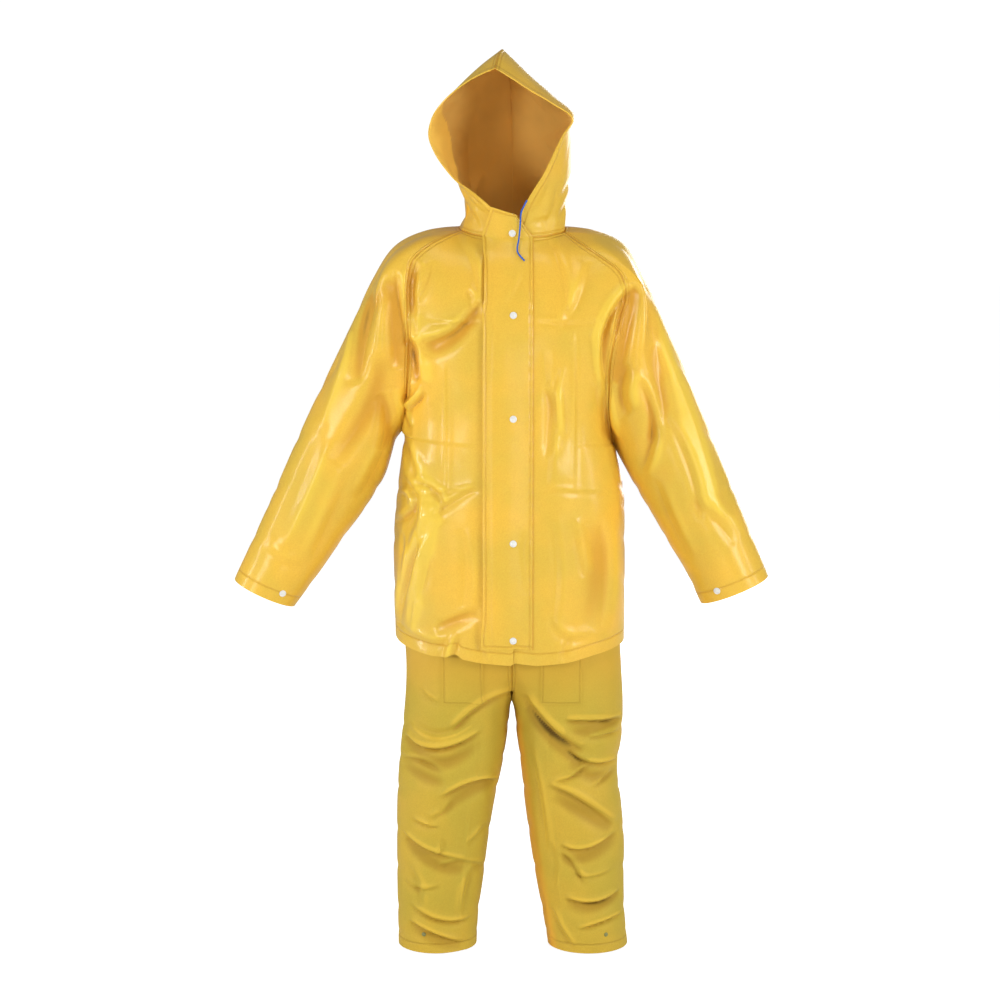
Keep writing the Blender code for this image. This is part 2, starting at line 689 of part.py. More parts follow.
def quad_splits(points, around=False):
    """For each cell of a grid, whether its shorter diagonal leaves from its first corner."""
    if around:
        points = np.concatenate([points, points[:, :1]], axis=1)
    falling = np.linalg.norm(points[1:, 1:] - points[:-1, :-1], axis=-1)
    rising = np.linalg.norm(points[1:, :-1] - points[:-1, 1:], axis=-1)
    return falling <= rising


def split_cell(corners, falling):
    """The two triangles of a cell, on one side or the other of its chosen diagonal."""
    first, second, third, fourth = corners
    if falling:
        return [(first, second, third), (first, third, fourth)]
    return [(first, second, fourth), (second, third, fourth)]


def shell_faces(points, around, splits, reverse):
    """Triangles of a wall with an outer and an inner grid, its edges closed by strips.

    Both faces of the wall have the same diagonals. A strip's diagonal leaves from the lower
    of its outer points, so that two pieces have the same one along their seam.
    """
    rows, columns = points.shape[:2]
    count = rows * columns
    wrap = columns if around else columns - 1
    order = points @ np.array(STRIP_ORDER)

    def number(place, inner=0):
        return inner * count + place[0] * columns + place[1] % columns

    faces = []
    for row in range(rows - 1):
        for column in range(wrap):
            cell = (row, column), (row, column + 1), (row + 1, column + 1), (row + 1, column)
            for corners in split_cell(cell, splits[row, column]):
                faces.append([number(corner) for corner in corners])
                faces.append([number(corner, 1) for corner in reversed(corners)])
    edges = [((0, column + 1), (0, column)) for column in range(wrap)]
    edges += [((rows - 1, column), (rows - 1, column + 1)) for column in range(wrap)]
    if not around:
        edges += [((row, 0), (row + 1, 0)) for row in range(rows - 1)]
        edges += [((row + 1, columns - 1), (row, columns - 1)) for row in range(rows - 1)]
    for begin, finish in edges:
        strip = number(begin), number(finish), number(finish, 1), number(begin, 1)
        lower = order[begin[0], begin[1] % columns] < order[finish[0], finish[1] % columns]
        faces += [list(corners) for corners in split_cell(strip, lower)]
    return [face[::-1] for face in faces] if reverse else faces


def material(kind):
    """A plain material of the kind's colour, roughness and metallic value."""
    name = kind + "_finish"
    found = bpy.data.materials.get(name)
    if found:
        return found
    made = bpy.data.materials.new(name)
    made.use_nodes = True
    shader = made.node_tree.nodes["Principled BSDF"]
    colour, roughness, metallic = COLOURS[kind]
    shader.inputs["Base Color"].default_value = colour
    shader.inputs["Roughness"].default_value = roughness
    shader.inputs["Metallic"].default_value = metallic
    made.diffuse_color = colour
    return made


def add_object(name, mesh, kind):
    """Put a named object with its material into the scene."""
    mesh.materials.append(material(kind))
    made = bpy.data.objects.new(name, mesh)
    bpy.context.scene.collection.objects.link(made)
    return made


def add_wall(name, outer, inner, kind, splits, around=False):
    """A closed wall between an outer and an inner grid of points."""
    across = outer[0, 1] - outer[0, 0]
    along = outer[1, 0] - outer[0, 0]
    reverse = np.dot(np.cross(across, along), outer[0, 0] - inner[0, 0]) < 0
    points = np.concatenate([outer.reshape(-1, 3), inner.reshape(-1, 3)])
    mesh = bpy.data.meshes.new(name)
    mesh.from_pydata(points.tolist(), [], shell_faces(outer, around, splits, reverse))
    mesh.shade_smooth()
    mesh.set_sharp_from_angle(angle=math.radians(CREASE_ANGLE))
    return add_object(name, mesh, kind)


def cloth_piece(name, points, normals, kind, around=False):
    """A piece of cloth whose inner points lie one wall below its outer ones, trimmed at its edges."""
    splits = quad_splits(points, around)
    outer = points.copy()
    inner = points - normals * WALL
    ends = [(0, 0), (0, 1)] if around else [(0, 0), (0, 1), (1, 0), (1, 1)]
    for axis, end in ends:
        trim(outer, inner, axis, end)
    return add_wall(name, outer, inner, kind, splits, around)


def add_flap(grids, normals):
    """The storm flap, on both fronts' middle columns and up over the hood's throat."""
    columns = len(FRONT_COLUMNS_FROM_MIDDLE)
    right = grids["front_right"][1:, :columns]
    left = grids["left_front_top"][1:, 1:columns - 1]
    points = np.concatenate([right[:, ::-1], left], axis=1)
    ways = np.concatenate([normals["front_right"][1:, columns - 1::-1][:, :columns],
                           normals["left_front_top"][1:, 1:columns - 1]], axis=1)
    lift = np.full(points.shape[:2], LAYER_GAP)
    lift[:, :len(FLAP_FREE_LIFT)] += FLAP_FREE_LIFT
    outer = points + ways * lift[..., None]
    neck = outer[-1]
    share = np.linspace(0, 1, outer.shape[1])[:, None]
    top = (1 - share) * np.array(FLAP_TOP_FAR) + share * np.array(FLAP_TOP_NEAR)
    top_way = np.tile(np.array([0.0, -1.0, 0.0]), (outer.shape[1], 1))
    rows = [(1 - part) * neck + part * top for part in FLAP_TOP_ROWS]
    outer = np.concatenate([outer, rows])
    row_ways = [unit((1 - part) * ways[-1] + part * top_way) for part in FLAP_TOP_ROWS]
    ways = np.concatenate([ways, row_ways])
    splits = np.ones((len(outer) - 1, outer.shape[1] - 1), bool)
    right_splits = quad_splits(right)
    left_splits = quad_splits(np.concatenate([right[:, :1], left], axis=1))
    below = right_splits.shape[0]
    splits[:below, :columns - 1] = ~right_splits[:, ::-1]
    splits[:below, columns - 1:] = left_splits
    add_wall("storm_flap", outer + ways * WALL, outer.copy(), "jacket", splits)
    return outer + ways * WALL, ways


def turned_profile(name, radii, heights, segments, place, way, kind):
    """A turned piece standing on `place` along `way`: a ring for each pair of radius and height."""
    way = unit(np.asarray(way, float))
    side = unit(np.cross(way, [0.0, 0.0, 1.0]))
    other = np.cross(way, side)
    angles = np.linspace(0, 2 * math.pi, segments, endpoint=False)
    circle = np.cos(angles)[:, None] * side + np.sin(angles)[:, None] * other
    rings = [place + radius * circle + height * way for radius, height in zip(radii, heights)]
    base = place + heights[0] * way
    tip = place + (heights[-1] + CAP_TIP_RISE) * way
    points = np.concatenate([*rings, [base], [tip]])
    count = len(points)
    faces = []
    for ring in range(len(radii) - 1):
        for step in range(segments):
            after = (step + 1) % segments
            faces.append([ring * segments + step, ring * segments + after,
                          (ring + 1) * segments + after, (ring + 1) * segments + step])
    last = (len(radii) - 1) * segments
    for step in range(segments):
        after = (step + 1) % segments
        faces.append([after, step, count - 2])
        faces.append([last + step, last + after, count - 1])
    mesh = bpy.data.meshes.new(name)
    mesh.from_pydata(points.tolist(), [], faces)
    mesh.shade_smooth()
    return add_object(name, mesh, kind)


def snap(name, place, way, radius, kind):
    """A snap's round cap with a rolled edge, standing on the cloth."""
    radii = [radius * share for share in CAP_RADIUS_SHARES]
    base = place + unit(way) * SNAP_STANDOFF
    return turned_profile(name, radii, CAP_HEIGHTS, SNAP_SEGMENTS, base, way, kind)


def place_on(points, normals, target):
    """The point and normal of a grid's faces in front of a target in x and height."""
    best = None
    rows, columns = points.shape[:2]
    for row in range(rows - 1):
        for column in range(columns - 1):
            corners = ((row, column), (row, column + 1), (row + 1, column + 1), (row + 1, column))
            quad = np.array([points[corner] for corner in corners])
            ways = np.array([normals[corner] for corner in corners])
            low = quad[:, [0, 2]].min(axis=0)
            high = quad[:, [0, 2]].max(axis=0)
            if np.all(low <= target) and np.all(high >= target) and ways[:, 1].mean() < 0:
                weight = 1 / (np.linalg.norm(quad[:, [0, 2]] - target, axis=1) + CORNER_SOFTENING)
                weight /= weight.sum()
                spot = weight @ quad
                best = (np.array([target[0], spot[1], target[1]]), unit(weight @ ways), quad)
    if best is None:
        raise ValueError(f"no face in front of {target}")
    place, way, quad = best
    flat_way = unit(np.cross(quad[2] - quad[0], quad[3] - quad[1]))
    if np.dot(flat_way, way) < 0:
        flat_way = -flat_way
    top = max(np.dot(quad - place, flat_way))
    return place + flat_way * max(top, 0.0), flat_way


def add_drawstring():
    """The free end of the hood's drawstring, as a round tube along its route."""
    points = along_route(route(CORD_ROUTE), np.linspace(0, 1, CORD_POINTS))
    curve = bpy.data.curves.new("drawstring", "CURVE")
    curve.dimensions = "3D"
    curve.bevel_depth = CORD_DIAMETER / 2
    curve.bevel_resolution = 2
    curve.use_fill_caps = True
    line = curve.splines.new("POLY")
    line.points.add(len(points) - 1)
    for spot, point in zip(line.points, points):
        spot.co = (*point, 1.0)
    curve.materials.append(material("cord"))
    made = bpy.data.objects.new("drawstring", curve)
    bpy.context.scene.collection.objects.link(made)


def add_waistband(top_ring):
    """The elastic waistband: a gathered ring just above the trousers' top edge."""
    count = len(top_ring)
    middle = top_ring.mean(axis=0)
    ways = unit((top_ring - middle) * np.array([1.0, 1.0, 0.0]))
    waves = WAISTBAND_GATHER_DEPTH * np.cos(np.arange(count) * math.pi)
    low = top_ring + np.array([0.0, 0.0, SEAM_GAP])
    outer = np.stack([
        low + ways * (waves * part)[:, None] + np.array([0.0, 0.0, height])
        for part, height in zip(WAISTBAND_SWELL, WAISTBAND_HEIGHTS)
    ])
    inner = outer - ways[None] * WALL
    return add_wall("waistband", outer, inner, "trousers", quad_splits(outer, True), around=True)


def add_pocket(name, points, normals):
    """A patch pocket made of the trouser front's own points, moved out."""
    first, last = POCKET_COLUMNS
    rows = slice(POCKET_TOP_ROW, POCKET_BOTTOM_ROW + 1)
    columns = slice(first, last + 1)
    spots = points[rows, columns]
    ways = normals[rows, columns]
    inner = spots + ways * LAYER_GAP
    add_wall(name, inner + ways * WALL, inner.copy(), "trousers", quad_splits(spots))


def normals_about_axis(points, out=0.0, around=False):
    """Normals of a piece that stands round an upright axis, `out` from the middle."""
    if around:
        return grid_normals(points, points.mean(axis=1, keepdims=True), around=True)
    axis = points.mean(axis=1, keepdims=True) * np.array([0.0, 0.0, 1.0])
    return grid_normals(points, axis + np.array([out, 0.0, 0.0]))


def piece_normals(name, points):
    """The unit normals of a named piece's grid."""
    if name.startswith("hood"):
        return grid_normals(points, np.array(HOOD_INSIDE))
    if name.startswith("trouser"):
        return normals_about_axis(points, SIDES[name.split("_")[-1]] * LEG_AXIS_OUT)
    return normals_about_axis(points, around=name.startswith("sleeve"))


def shared_normals(grids):
    """The normals of all the pieces, alike along their seams."""
    normals = {name: piece_normals(name, points) for name, points in grids.items()}
    share_normals(grids, normals)
    return normals


def body_grids():
    """The outer faces of the jacket and the trousers below the neck, with their folds."""
    grids = {"back": back_panel()}
    for side in SIDES:
        grids["front_" + side] = torso_quarter(side, "front", front_columns(side))
        grids["sleeve_" + side] = sleeve_tube(side)
        for face in ("front", "back"):
            grids[f"trouser_{face}_{side}"] = leg_panel(side, face)
    add_folds(grids, shared_normals(grids))
    return grids


def add_hood_grids(grids):
    """The hood's halves, on the neck's points from the throat to the middle of the back."""
    back_row = grids["back"][-1]
    back_necks = {"right": back_row[:BACK_COLUMNS + 1], "left": back_row[BACK_COLUMNS:][::-1]}
    necks = {}
    for side in SIDES:
        crest = grids["sleeve_" + side][0, :1]
        necks[side] = np.concatenate([grids["front_" + side][-1], crest, back_necks[side]])
    across = sum(length_places(neck) for neck in necks.values()) / len(necks)
    for side, neck in necks.items():
        grids["hood_" + side] = hood_half(side, neck, across)


def tuck_left_front(grids, normals):
    """Lower the left front's middle edge below the right front, and run it on under that one.

    The front as it was is kept for the storm flap that lies on both.
    """
    front = grids["front_left"]
    ways = normals["front_left"]
    grids["left_front_top"] = front
    normals["left_front_top"] = ways
    lowered = front.copy()
    lowered[:, 0] -= (WALL + SEAM_GAP) * ways[:, 0]
    tuck_way = normals["front_right"][:, 1:2]
    tuck = grids["front_right"][:, 1:2] - tuck_way * (WALL + SEAM_GAP)
    grids["front_left"] = np.concatenate([tuck, lowered], axis=1)
    normals["front_left"] = np.concatenate([tuck_way, ways], axis=1)
    grids["hood_left"][0, 0] = lowered[-1, 0]


def add_cloth(grids, normals):
    """The walls of the jacket's and the trousers' pieces."""
    for name, points in grids.items():
        if name == "left_front_top":
            continue
        kind = "trousers" if name.startswith("trouser") else "jacket"
        cloth_piece(name, points, normals[name], kind, around=name.startswith("sleeve"))


def add_fasteners(grids, normals, flap, flap_ways):
    """The snaps on the storm flap and the cuffs, and the studs on the trouser legs."""
    for number, height in enumerate(FLAP_SNAP_HEIGHTS, start=1):
        place, way = place_on(flap, flap_ways, (FLAP_SNAP_X, height))
        snap(f"front_snap_{number}", place, way, SNAP_RADIUS, "snap")
    near_cuff = (slice(-2, None), slice(CUFF_SNAP_COLUMN, CUFF_SNAP_COLUMN + 2))
    for side in SIDES:
        sleeve = "sleeve_" + side
        spot = grids[sleeve][near_cuff].mean(axis=(0, 1))
        way = normals[sleeve][near_cuff].mean(axis=(0, 1))
        snap("cuff_snap_" + side, spot, way, SNAP_RADIUS, "snap")
        panel = "trouser_front_" + side
        place, way = place_on(grids[panel], normals[panel], (LEG_STUD_X[side], LEG_STUD_HEIGHT))
        snap("ankle_stud_" + side, place, way, STUD_RADIUS, "stud")


def trouser_top_ring(grids):
    """The points round the trousers' top edge, from one middle of the front and back to it."""
    return np.concatenate([
        grids["trouser_front_right"][0, :0:-1], grids["trouser_front_left"][0, :-1],
        grids["trouser_back_left"][0, :0:-1], grids["trouser_back_right"][0, :-1],
    ])


def build():
    """Build every piece of the suit."""
    for old in list(bpy.data.objects):
        bpy.data.objects.remove(old, do_unlink=True)
    grids = body_grids()
    add_hood_grids(grids)
    normals = shared_normals(grids)
    tuck_left_front(grids, normals)
    add_cloth(grids, normals)
    flap, flap_ways = add_flap(grids, normals)
    add_fasteners(grids, normals, flap, flap_ways)
    for side in SIDES:
        panel = "trouser_front_" + side
        add_pocket("pocket_" + side, grids[panel], normals[panel])
    add_waistband(trouser_top_ring(grids))
    add_drawstring()


build()
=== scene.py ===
"""Looks of a hooded rain suit: a jacket with trousers, worn and hollow, in metres.

The shapes repeat the solids' own sizes with finer rows and columns, and add the creases,
bands, stitches and fasteners. +Z is up, the front faces -Y, the wearer's left is +X.
"""

import math

import bpy
import mathutils
import numpy as np
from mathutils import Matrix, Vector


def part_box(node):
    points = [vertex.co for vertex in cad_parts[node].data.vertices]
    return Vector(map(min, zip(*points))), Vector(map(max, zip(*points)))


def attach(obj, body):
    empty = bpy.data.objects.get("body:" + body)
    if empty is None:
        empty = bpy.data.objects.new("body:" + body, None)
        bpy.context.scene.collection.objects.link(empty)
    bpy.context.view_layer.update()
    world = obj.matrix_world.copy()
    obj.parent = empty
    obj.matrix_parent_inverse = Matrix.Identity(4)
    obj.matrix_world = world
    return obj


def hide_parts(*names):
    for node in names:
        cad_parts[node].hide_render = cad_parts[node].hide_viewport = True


bl_info = {
    "name": "Hooded rain suit",
    "version": (1, 0, 0),
    "blender": (4, 5, 0),
    "location": "3D View > Sidebar > Rain suit",
    "description": "Builds the cloth, fasteners, cord and stage of a worn rain suit",
    "category": "Add Mesh",
}

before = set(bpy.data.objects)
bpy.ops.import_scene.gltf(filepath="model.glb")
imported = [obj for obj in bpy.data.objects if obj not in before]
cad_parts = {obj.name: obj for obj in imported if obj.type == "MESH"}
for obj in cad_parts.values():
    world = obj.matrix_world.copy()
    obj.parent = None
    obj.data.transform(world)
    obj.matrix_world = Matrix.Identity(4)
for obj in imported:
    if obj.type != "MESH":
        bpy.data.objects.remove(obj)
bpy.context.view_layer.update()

# Cloth and seams, in metres
CLOTH = 0.0011
UNDERLAP = 0.0026
LAYER_GAP = 0.0006
WEARERS_RIGHT = -1
WEARERS_LEFT = 1
SIDES = {"right": WEARERS_RIGHT, "left": WEARERS_LEFT}

# Jacket
MIDDLE_X = 0.002
NECK_HEIGHTS = {"front": -0.012, "back": 0.012}
COMMON_UNDERARM = -0.400
ROWS_BELOW_ARMHOLE = 104
ROWS_OF_ARMHOLE = 100
FRONT_COLUMNS_FROM_MIDDLE = tuple(np.linspace(0.0, 0.057, 13))
FRONT_COLUMNS_TO_SIDE = 60
BACK_COLUMNS = 54
CREST_COLUMNS = 8
SLEEVE_RINGS = 150
SLEEVE_TOP_ANGLE = 20.0
ARMHOLE_FADE = 0.42
HOOD_ROWS = 92
HOOD_FULLEST = 0.8
HOOD_INSIDE = (0.0, 0.0, 0.14)
UNDERLAP_COLUMN = 4
HEM_WIDTH = 0.023
CASING_WIDTH = 0.012

# Storm flap, by the fine columns of the two fronts and the rows above the hem's stitch line
FLAP_COLUMNS_RIGHT = 13
FLAP_COLUMNS_LEFT = 9
FLAP_FIRST_ROW = 7
FLAP_TOP_ROWS = 12
FLAP_TOP_NEAR = (0.008, -0.110, 0.031)
FLAP_TOP_FAR = (-0.040, -0.1105, 0.046)
FLAP_FREE_LIFT = 0.0048
FLAP_FREE_COLUMNS = 4

# Trousers
CROTCH_HEIGHT = -0.925
LEG_HEM_HEIGHT = -1.422
TROUSER_TOP_HEIGHT = -0.470
TROUSER_ROWS_ABOVE_CROTCH = 110
TROUSER_ROWS_BELOW_CROTCH = 150
TROUSER_COLUMNS = 70
TROUSER_FRONT_OUTS = tuple(np.linspace(0.0, 0.135, 31)[1:])
UPRIGHT_COLUMNS_FADE = 0.20
LEG_AXIS_OUT = 0.12
POCKET_OUTS = (0.055, 0.135)
POCKET_HEIGHTS = (-0.795, -0.909)
POCKET_GRID = (34, 24)


def table(columns, *rows):
    """A table as a dictionary from each column's name to its values, top row first."""
    return dict(zip(columns.split(), np.array(rows, float).T))


def millimetres(columns, *rows):
    """A table of lengths in metres from rows in millimetres; places are in thousandths."""
    return table(columns, *(np.array(rows, float) / 1000))


# Reach of the torso at each height: to the wearer's right and left, and to the front and back
TORSO = millimetres(
    "height right left front back",
    (-820, 228, 221, 168, 150), (-700, 230, 222, 166, 148), (-600, 231, 221, 163, 145),
    (-500, 223, 218, 160, 143), (-400, 210, 198, 157, 145), (-300, 205, 190, 152, 150),
    (-200, 200, 190, 148, 152), (-100, 190, 190, 133, 142), (-50, 150, 150, 117, 122),
    (-12, 100, 100, 98, 100), (12, 98, 98, 98, 85),
)

# Height of the jacket's hem at the middle of the front and back and at the side seams
HEM_HEIGHTS = {"front": -0.815, "back": -0.802, "right": -0.785, "left": -0.800}

# How wide the facing inside the hood's opening is, by height; it is widened to the band that light
# reaches inside the opening, and its brighter colour there is painted light
HOOD_LIT_FACING = millimetres(
    "z width",
    (40, 55), (100, 90), (160, 95), (205, 80), (235, 12),
)

# How far the front's hem stands above its even line, by x, and how high that reaches
HEM_RISE = millimetres(
    "x rise",
    (-190, 0), (-154, -1), (-125, 2), (-114, 9), (-105, 9), (-95, 2), (-60, -2), (-1, -5), (4, 0),
    (47, -6), (106, -5), (154, 2), (200, 5),
)
HEM_RISE_FADE = 0.07

# Armhole seam on the front and on the back of each side, from the neck to under the arm
ARMHOLE = {
    ("right", "front"): millimetres(
        "out y height",
        (97, -42, 1), (128, -78, -10), (158, -96, -26), (186, -108, -52), (197, -112, -95),
        (198, -108, -150), (197, -97, -215), (202, -70, -310), (214, -4, -385),
    ),
    ("right", "back"): millimetres(
        "out y height",
        (93, 36, 8), (122, 78, -6), (154, 104, -28), (180, 118, -66), (188, 122, -120),
        (190, 116, -190), (197, 88, -290), (214, -4, -385),
    ),
    ("left", "front"): millimetres(
        "out y height",
        (99, -42, -2), (134, -82, -26), (170, -98, -50), (202, -106, -76), (214, -110, -112),
        (203, -110, -170), (188, -100, -240), (186, -72, -330), (197, -4, -415),
    ),
    ("left", "back"): millimetres(
        "out y height",
        (93, 36, 8), (122, 78, -6), (154, 104, -28), (180, 118, -66), (188, 122, -120),
        (188, 116, -200), (188, 86, -310), (197, -4, -415),
    ),
}

# How far each torso row turns around the body, in degrees, along the armhole from neck to underarm
ARMHOLE_TURN = table(
    "place front back",
    (0.0, 66, 62),
    (0.3, 52, 54),
    (0.6, 58, 58),
    (0.85, 72, 72),
    (1.0, 90, 90),
)

# Sleeve rings by place from the armhole to the cuff: the top line, the line under the arm, the
# way forward of the ring's middle, and its half depths
SLEEVE = {
    "right": millimetres(
        "place top_out top_height under_out under_height forward front back",
        (0, 102, 6, 214, -385, -4, 100, 100), (100, 165, 0, 218, -392, -4, 104, 104),
        (200, 226, -30, 223, -402, -5, 104, 104), (300, 268, -92, 230, -418, -6, 100, 102),
        (400, 308, -176, 237, -443, -8, 94, 98), (500, 348, -258, 247, -473, -10, 88, 92),
        (600, 392, -348, 265, -505, -14, 83, 87), (700, 432, -436, 292, -546, -18, 78, 82),
        (800, 469, -520, 328, -594, -23, 72, 76), (900, 506, -600, 373, -659, -28, 65, 68),
        (1000, 541, -674, 424, -728, -33, 58, 60),
    ),
    "left": millimetres(
        "place top_out top_height under_out under_height forward front back",
        (0, 102, 6, 197, -415, -4, 100, 100), (100, 160, 0, 201, -422, -4, 104, 104),
        (200, 218, -28, 207, -433, -5, 104, 104), (300, 254, -90, 215, -448, -6, 100, 102),
        (400, 290, -165, 226, -468, -8, 94, 98), (500, 326, -247, 240, -494, -10, 88, 92),
        (600, 365, -340, 258, -524, -14, 84, 87), (700, 401, -430, 279, -558, -18, 79, 82),
        (800, 435, -512, 304, -602, -23, 73, 76), (900, 469, -594, 338, -657, -28, 66, 69),
        (1000, 500, -668, 369, -722, -33, 60, 62),
    ),
}

# Edge of the hood's opening on each side, from the throat to the peak over the brow
HOOD_EDGE = {
    "right": millimetres(
        "x y height",
        (2, -98, -12), (-14, -102.5, 20), (-42, -108, 47), (-81, -100, 78), (-104, -90, 93),
        (-126, -78, 117), (-146, -68, 146), (-158, -62, 180), (-151, -66, 212), (-135, -74, 236),
        (-107, -85, 262), (-72, -98, 285), (-32, -110, 302),
    ),
    "left": millimetres(
        "x y height",
        (2, -96, -12), (13, -100, 24), (25, -110, 52), (41, -120, 79), (57, -127, 104),
        (70, -129, 130), (82, -128, 155), (96, -126, 181), (112, -122, 205), (71, -120, 239),
        (33, -117, 261), (-4, -113, 285), (-32, -110, 302),
    ),
}

# Ridge seam of the hood from the peak over the crown, and the seam down its back to the nape
HOOD_RIDGE = millimetres(
    "x y height",
    (-32, -110, 302), (-26, -70, 328), (-19, -18, 342), (-10, 45, 331), (-4, 95, 292),
    (0, 124, 235),
)
HOOD_BACK = millimetres(
    "x y height",
    (2, 85, 12), (2, 104, 70), (2, 120, 140), (1, 127, 190), (0, 124, 235),
)

# Extra fullness of each hood half, sideways and upwards
HOOD_FULLNESS = {"right": (0.026, -0.012), "left": (0.014, -0.008)}

# Trouser leg at each height: reach outwards and inwards, half depths, and its middle's y
LEG = {
    "right": millimetres(
        "height outer inner front back middle",
        (-470, 162, -162, 112, 112, 0), (-540, 182, -180, 118, 116, -4),
        (-620, 206, -190, 122, 120, -4), (-700, 227, -175, 124, 122, -4),
        (-780, 213, -120, 124, 122, -2), (-850, 208, -60, 120, 122, 0), (-925, 211, 0, 112, 122, 0),
        (-965, 215, 5, 107, 117, 2), (-1046, 223, 17, 99, 108, 4), (-1128, 228, 34, 92, 100, 6),
        (-1210, 229, 47, 86, 92, 8), (-1292, 229, 57, 82, 86, 10), (-1355, 228, 66, 80, 83, 10),
        (-1420, 227, 70, 78, 80, 10),
    ),
    "left": millimetres(
        "height outer inner front back middle",
        (-470, 162, -162, 112, 112, 0), (-540, 180, -180, 118, 116, -4),
        (-620, 202, -190, 122, 120, -4), (-700, 219.5, -175, 124, 122, -4),
        (-780, 213, -120, 124, 122, -2), (-850, 216, -60, 120, 122, 0), (-925, 220, 0, 112, 122, 0),
        (-985, 219, 9, 106, 115, 2), (-1060, 210, 19, 98, 107, 4), (-1128, 218, 26, 92, 100, 6),
        (-1210, 225, 37, 86, 93, 8), (-1292, 225, 50, 82, 87, 10), (-1355, 227, 62, 80, 83, 10),
        (-1420, 233, 73, 78, 80, 10),
    ),
}

# Largest folds, seen from the front: from, bend and to in x and height, half width and depth;
# a minus depth is a ridge
FRONT_FOLDS = millimetres(
    "from_x from_z bend_x bend_z to_x to_z width depth",
    (-196, -225, -118, -205, -62, -132, 16, 7), (-170, -60, -188, -110, -185, -160, 14, 7),
    (-230, -90, -290, -190, -300, -290, 16, 7), (-228, -85, -222, -190, -214, -260, 14, 8),
    (-250, -230, -270, -330, -345, -440, 20, 8), (236, -100, 214, -190, 196, -290, 14, 9),
    (262, -215, 286, -330, 262, -400, 16, 8), (300, -180, 350, -330, 400, -500, 20, -6),
    (-150, -515, -185, -640, -214, -760, 20, -9), (-212, -410, -180, -500, -140, -560, 16, -7),
    (-146, -760, -110, -740, -60, -722, 14, 6), (150, -550, 160, -650, 140, -760, 22, 6),
    (-212, -990, -140, -1030, -60, -985, 15, 9), (-215, -1040, -170, -1062, -130, -1070, 14, 8),
    (-140, -1130, -80, -1090, -35, -1085, 14, 8), (-212, -1195, -150, -1240, -80, -1255, 14, 9),
    (-205, -1370, -150, -1400, -90, -1415, 12, 6), (30, -920, 90, -990, 150, -1030, 18, 9),
    (100, -965, 150, -965, 214, -950, 14, 8), (110, -1030, 160, -1060, 206, -1055, 14, 8),
    (80, -1100, 140, -1135, 205, -1180, 14, 9), (90, -1225, 150, -1225, 212, -1190, 14, 8),
    (105, -1325, 160, -1330, 216, -1310, 14, 7),
)
BACK_FOLDS = millimetres(
    "from_x from_z bend_x bend_z to_x to_z width depth",
    (-190, -230, -110, -240, -50, -200, 18, 8), (190, -250, 120, -250, 60, -215, 18, 8),
    (-240, -240, -280, -330, -350, -430, 20, 8), (250, -220, 280, -330, 340, -440, 20, 8),
    (-140, -430, -170, -590, -160, -760, 24, 7), (130, -450, 160, -600, 170, -770, 24, 7),
    (-200, -1000, -130, -1040, -50, -1000, 16, 9), (-205, -1110, -140, -1130, -60, -1100, 15, 8),
    (-210, -1240, -150, -1270, -80, -1250, 15, 8), (40, -980, 120, -1030, 205, -1000, 16, 9),
    (60, -1110, 130, -1140, 205, -1100, 15, 8), (80, -1250, 150, -1270, 210, -1235, 15, 8),
)

# Route of the drawstring's free end from its casing in the hood's edge
CORD_ROUTE = millimetres(
    "x y height",
    (27.5, -114.4, 58.5), (22.5, -113.2, 48.5), (17, -112.2, 36), (15.5, -110.6, 22.5),
    (14.8, -108, 9.5), (13.5, -105.8, -4.5), (12, -106.2, -17), (9.5, -112.8, -30),
    (10.5, -117.2, -39), (16.5, -120.8, -47), (23, -123.8, -54),
)

# Creases of the back, the sides and the hood, in the same columns; the plane is seen square on
BACK_CREASES = millimetres(
    "from_x from_z bend_x bend_z to_x to_z width depth",
    (-158, -95, -120, -150, -45, -168, 11, 4.5), (150, -130, 118, -185, 70, -196, 9, 3),
    (165, -70, 120, -90, 60, -86, 12, 3), (-185, -310, -125, -365, -35, -352, 9, 5),
    (188, -385, 140, -402, 95, -372, 8, 4.5), (40, -250, 62, -335, 48, -455, 12, 3),
    (-85, -285, -70, -420, -92, -520, 10, 3.5), (-205, -468, -158, -520, -70, -528, 8, 4.5),
    (-198, -505, -165, -538, -120, -546, 6, -3), (206, -560, 165, -592, 85, -566, 9, 5),
    (196, -505, 176, -528, 150, -530, 6, 3), (-190, -610, -140, -655, -60, -640, 10, 4),
    (-150, -700, -100, -735, -55, -722, 8, 3), (196, -672, 130, -726, 20, -702, 11, 4.5),
    (120, -620, 90, -655, 40, -652, 9, -3), (-20, -560, -10, -660, -30, -770, 12, 3),
    (-210, -260, -206, -330, -215, -380, 9, 6), (203, -235, 194, -320, 202, -372, 8, 7),
    (-325, -405, -385, -478, -452, -590, 11, 5), (-285, -470, -340, -505, -415, -492, 9, 4.5),
    (-262, -330, -300, -372, -352, -378, 9, 4), (300, -440, 352, -490, 412, -585, 10, 4.5),
    (262, -395, 322, -440, 372, -432, 9, 5), (330, -550, 372, -565, 425, -548, 8, 3.5),
    (-205, -905, -130, -955, -40, -925, 10, 6), (-150, -965, -105, -990, -52, -978, 7, 4),
    (-202, -1058, -160, -1076, -110, -1062, 7, 5), (-120, -1150, -85, -1186, -62, -1180, 8, 5),
    (-212, -1178, -172, -1204, -120, -1196, 8, 6), (-195, -1306, -130, -1338, -78, -1318, 9, 6),
    (-208, -1372, -178, -1392, -132, -1396, 7, 4.5), (202, -952, 150, -965, 85, -935, 8, 5),
    (30, -915, 70, -968, 125, -975, 9, 6), (200, -1040, 165, -1070, 100, -1078, 8, 5),
    (75, -1170, 128, -1205, 212, -1168, 9, 6), (110, -1215, 140, -1226, 180, -1216, 6, -3),
    (215, -1290, 178, -1322, 122, -1326, 8, 5), (92, -1352, 140, -1386, 222, -1366, 8, 5.5),
)
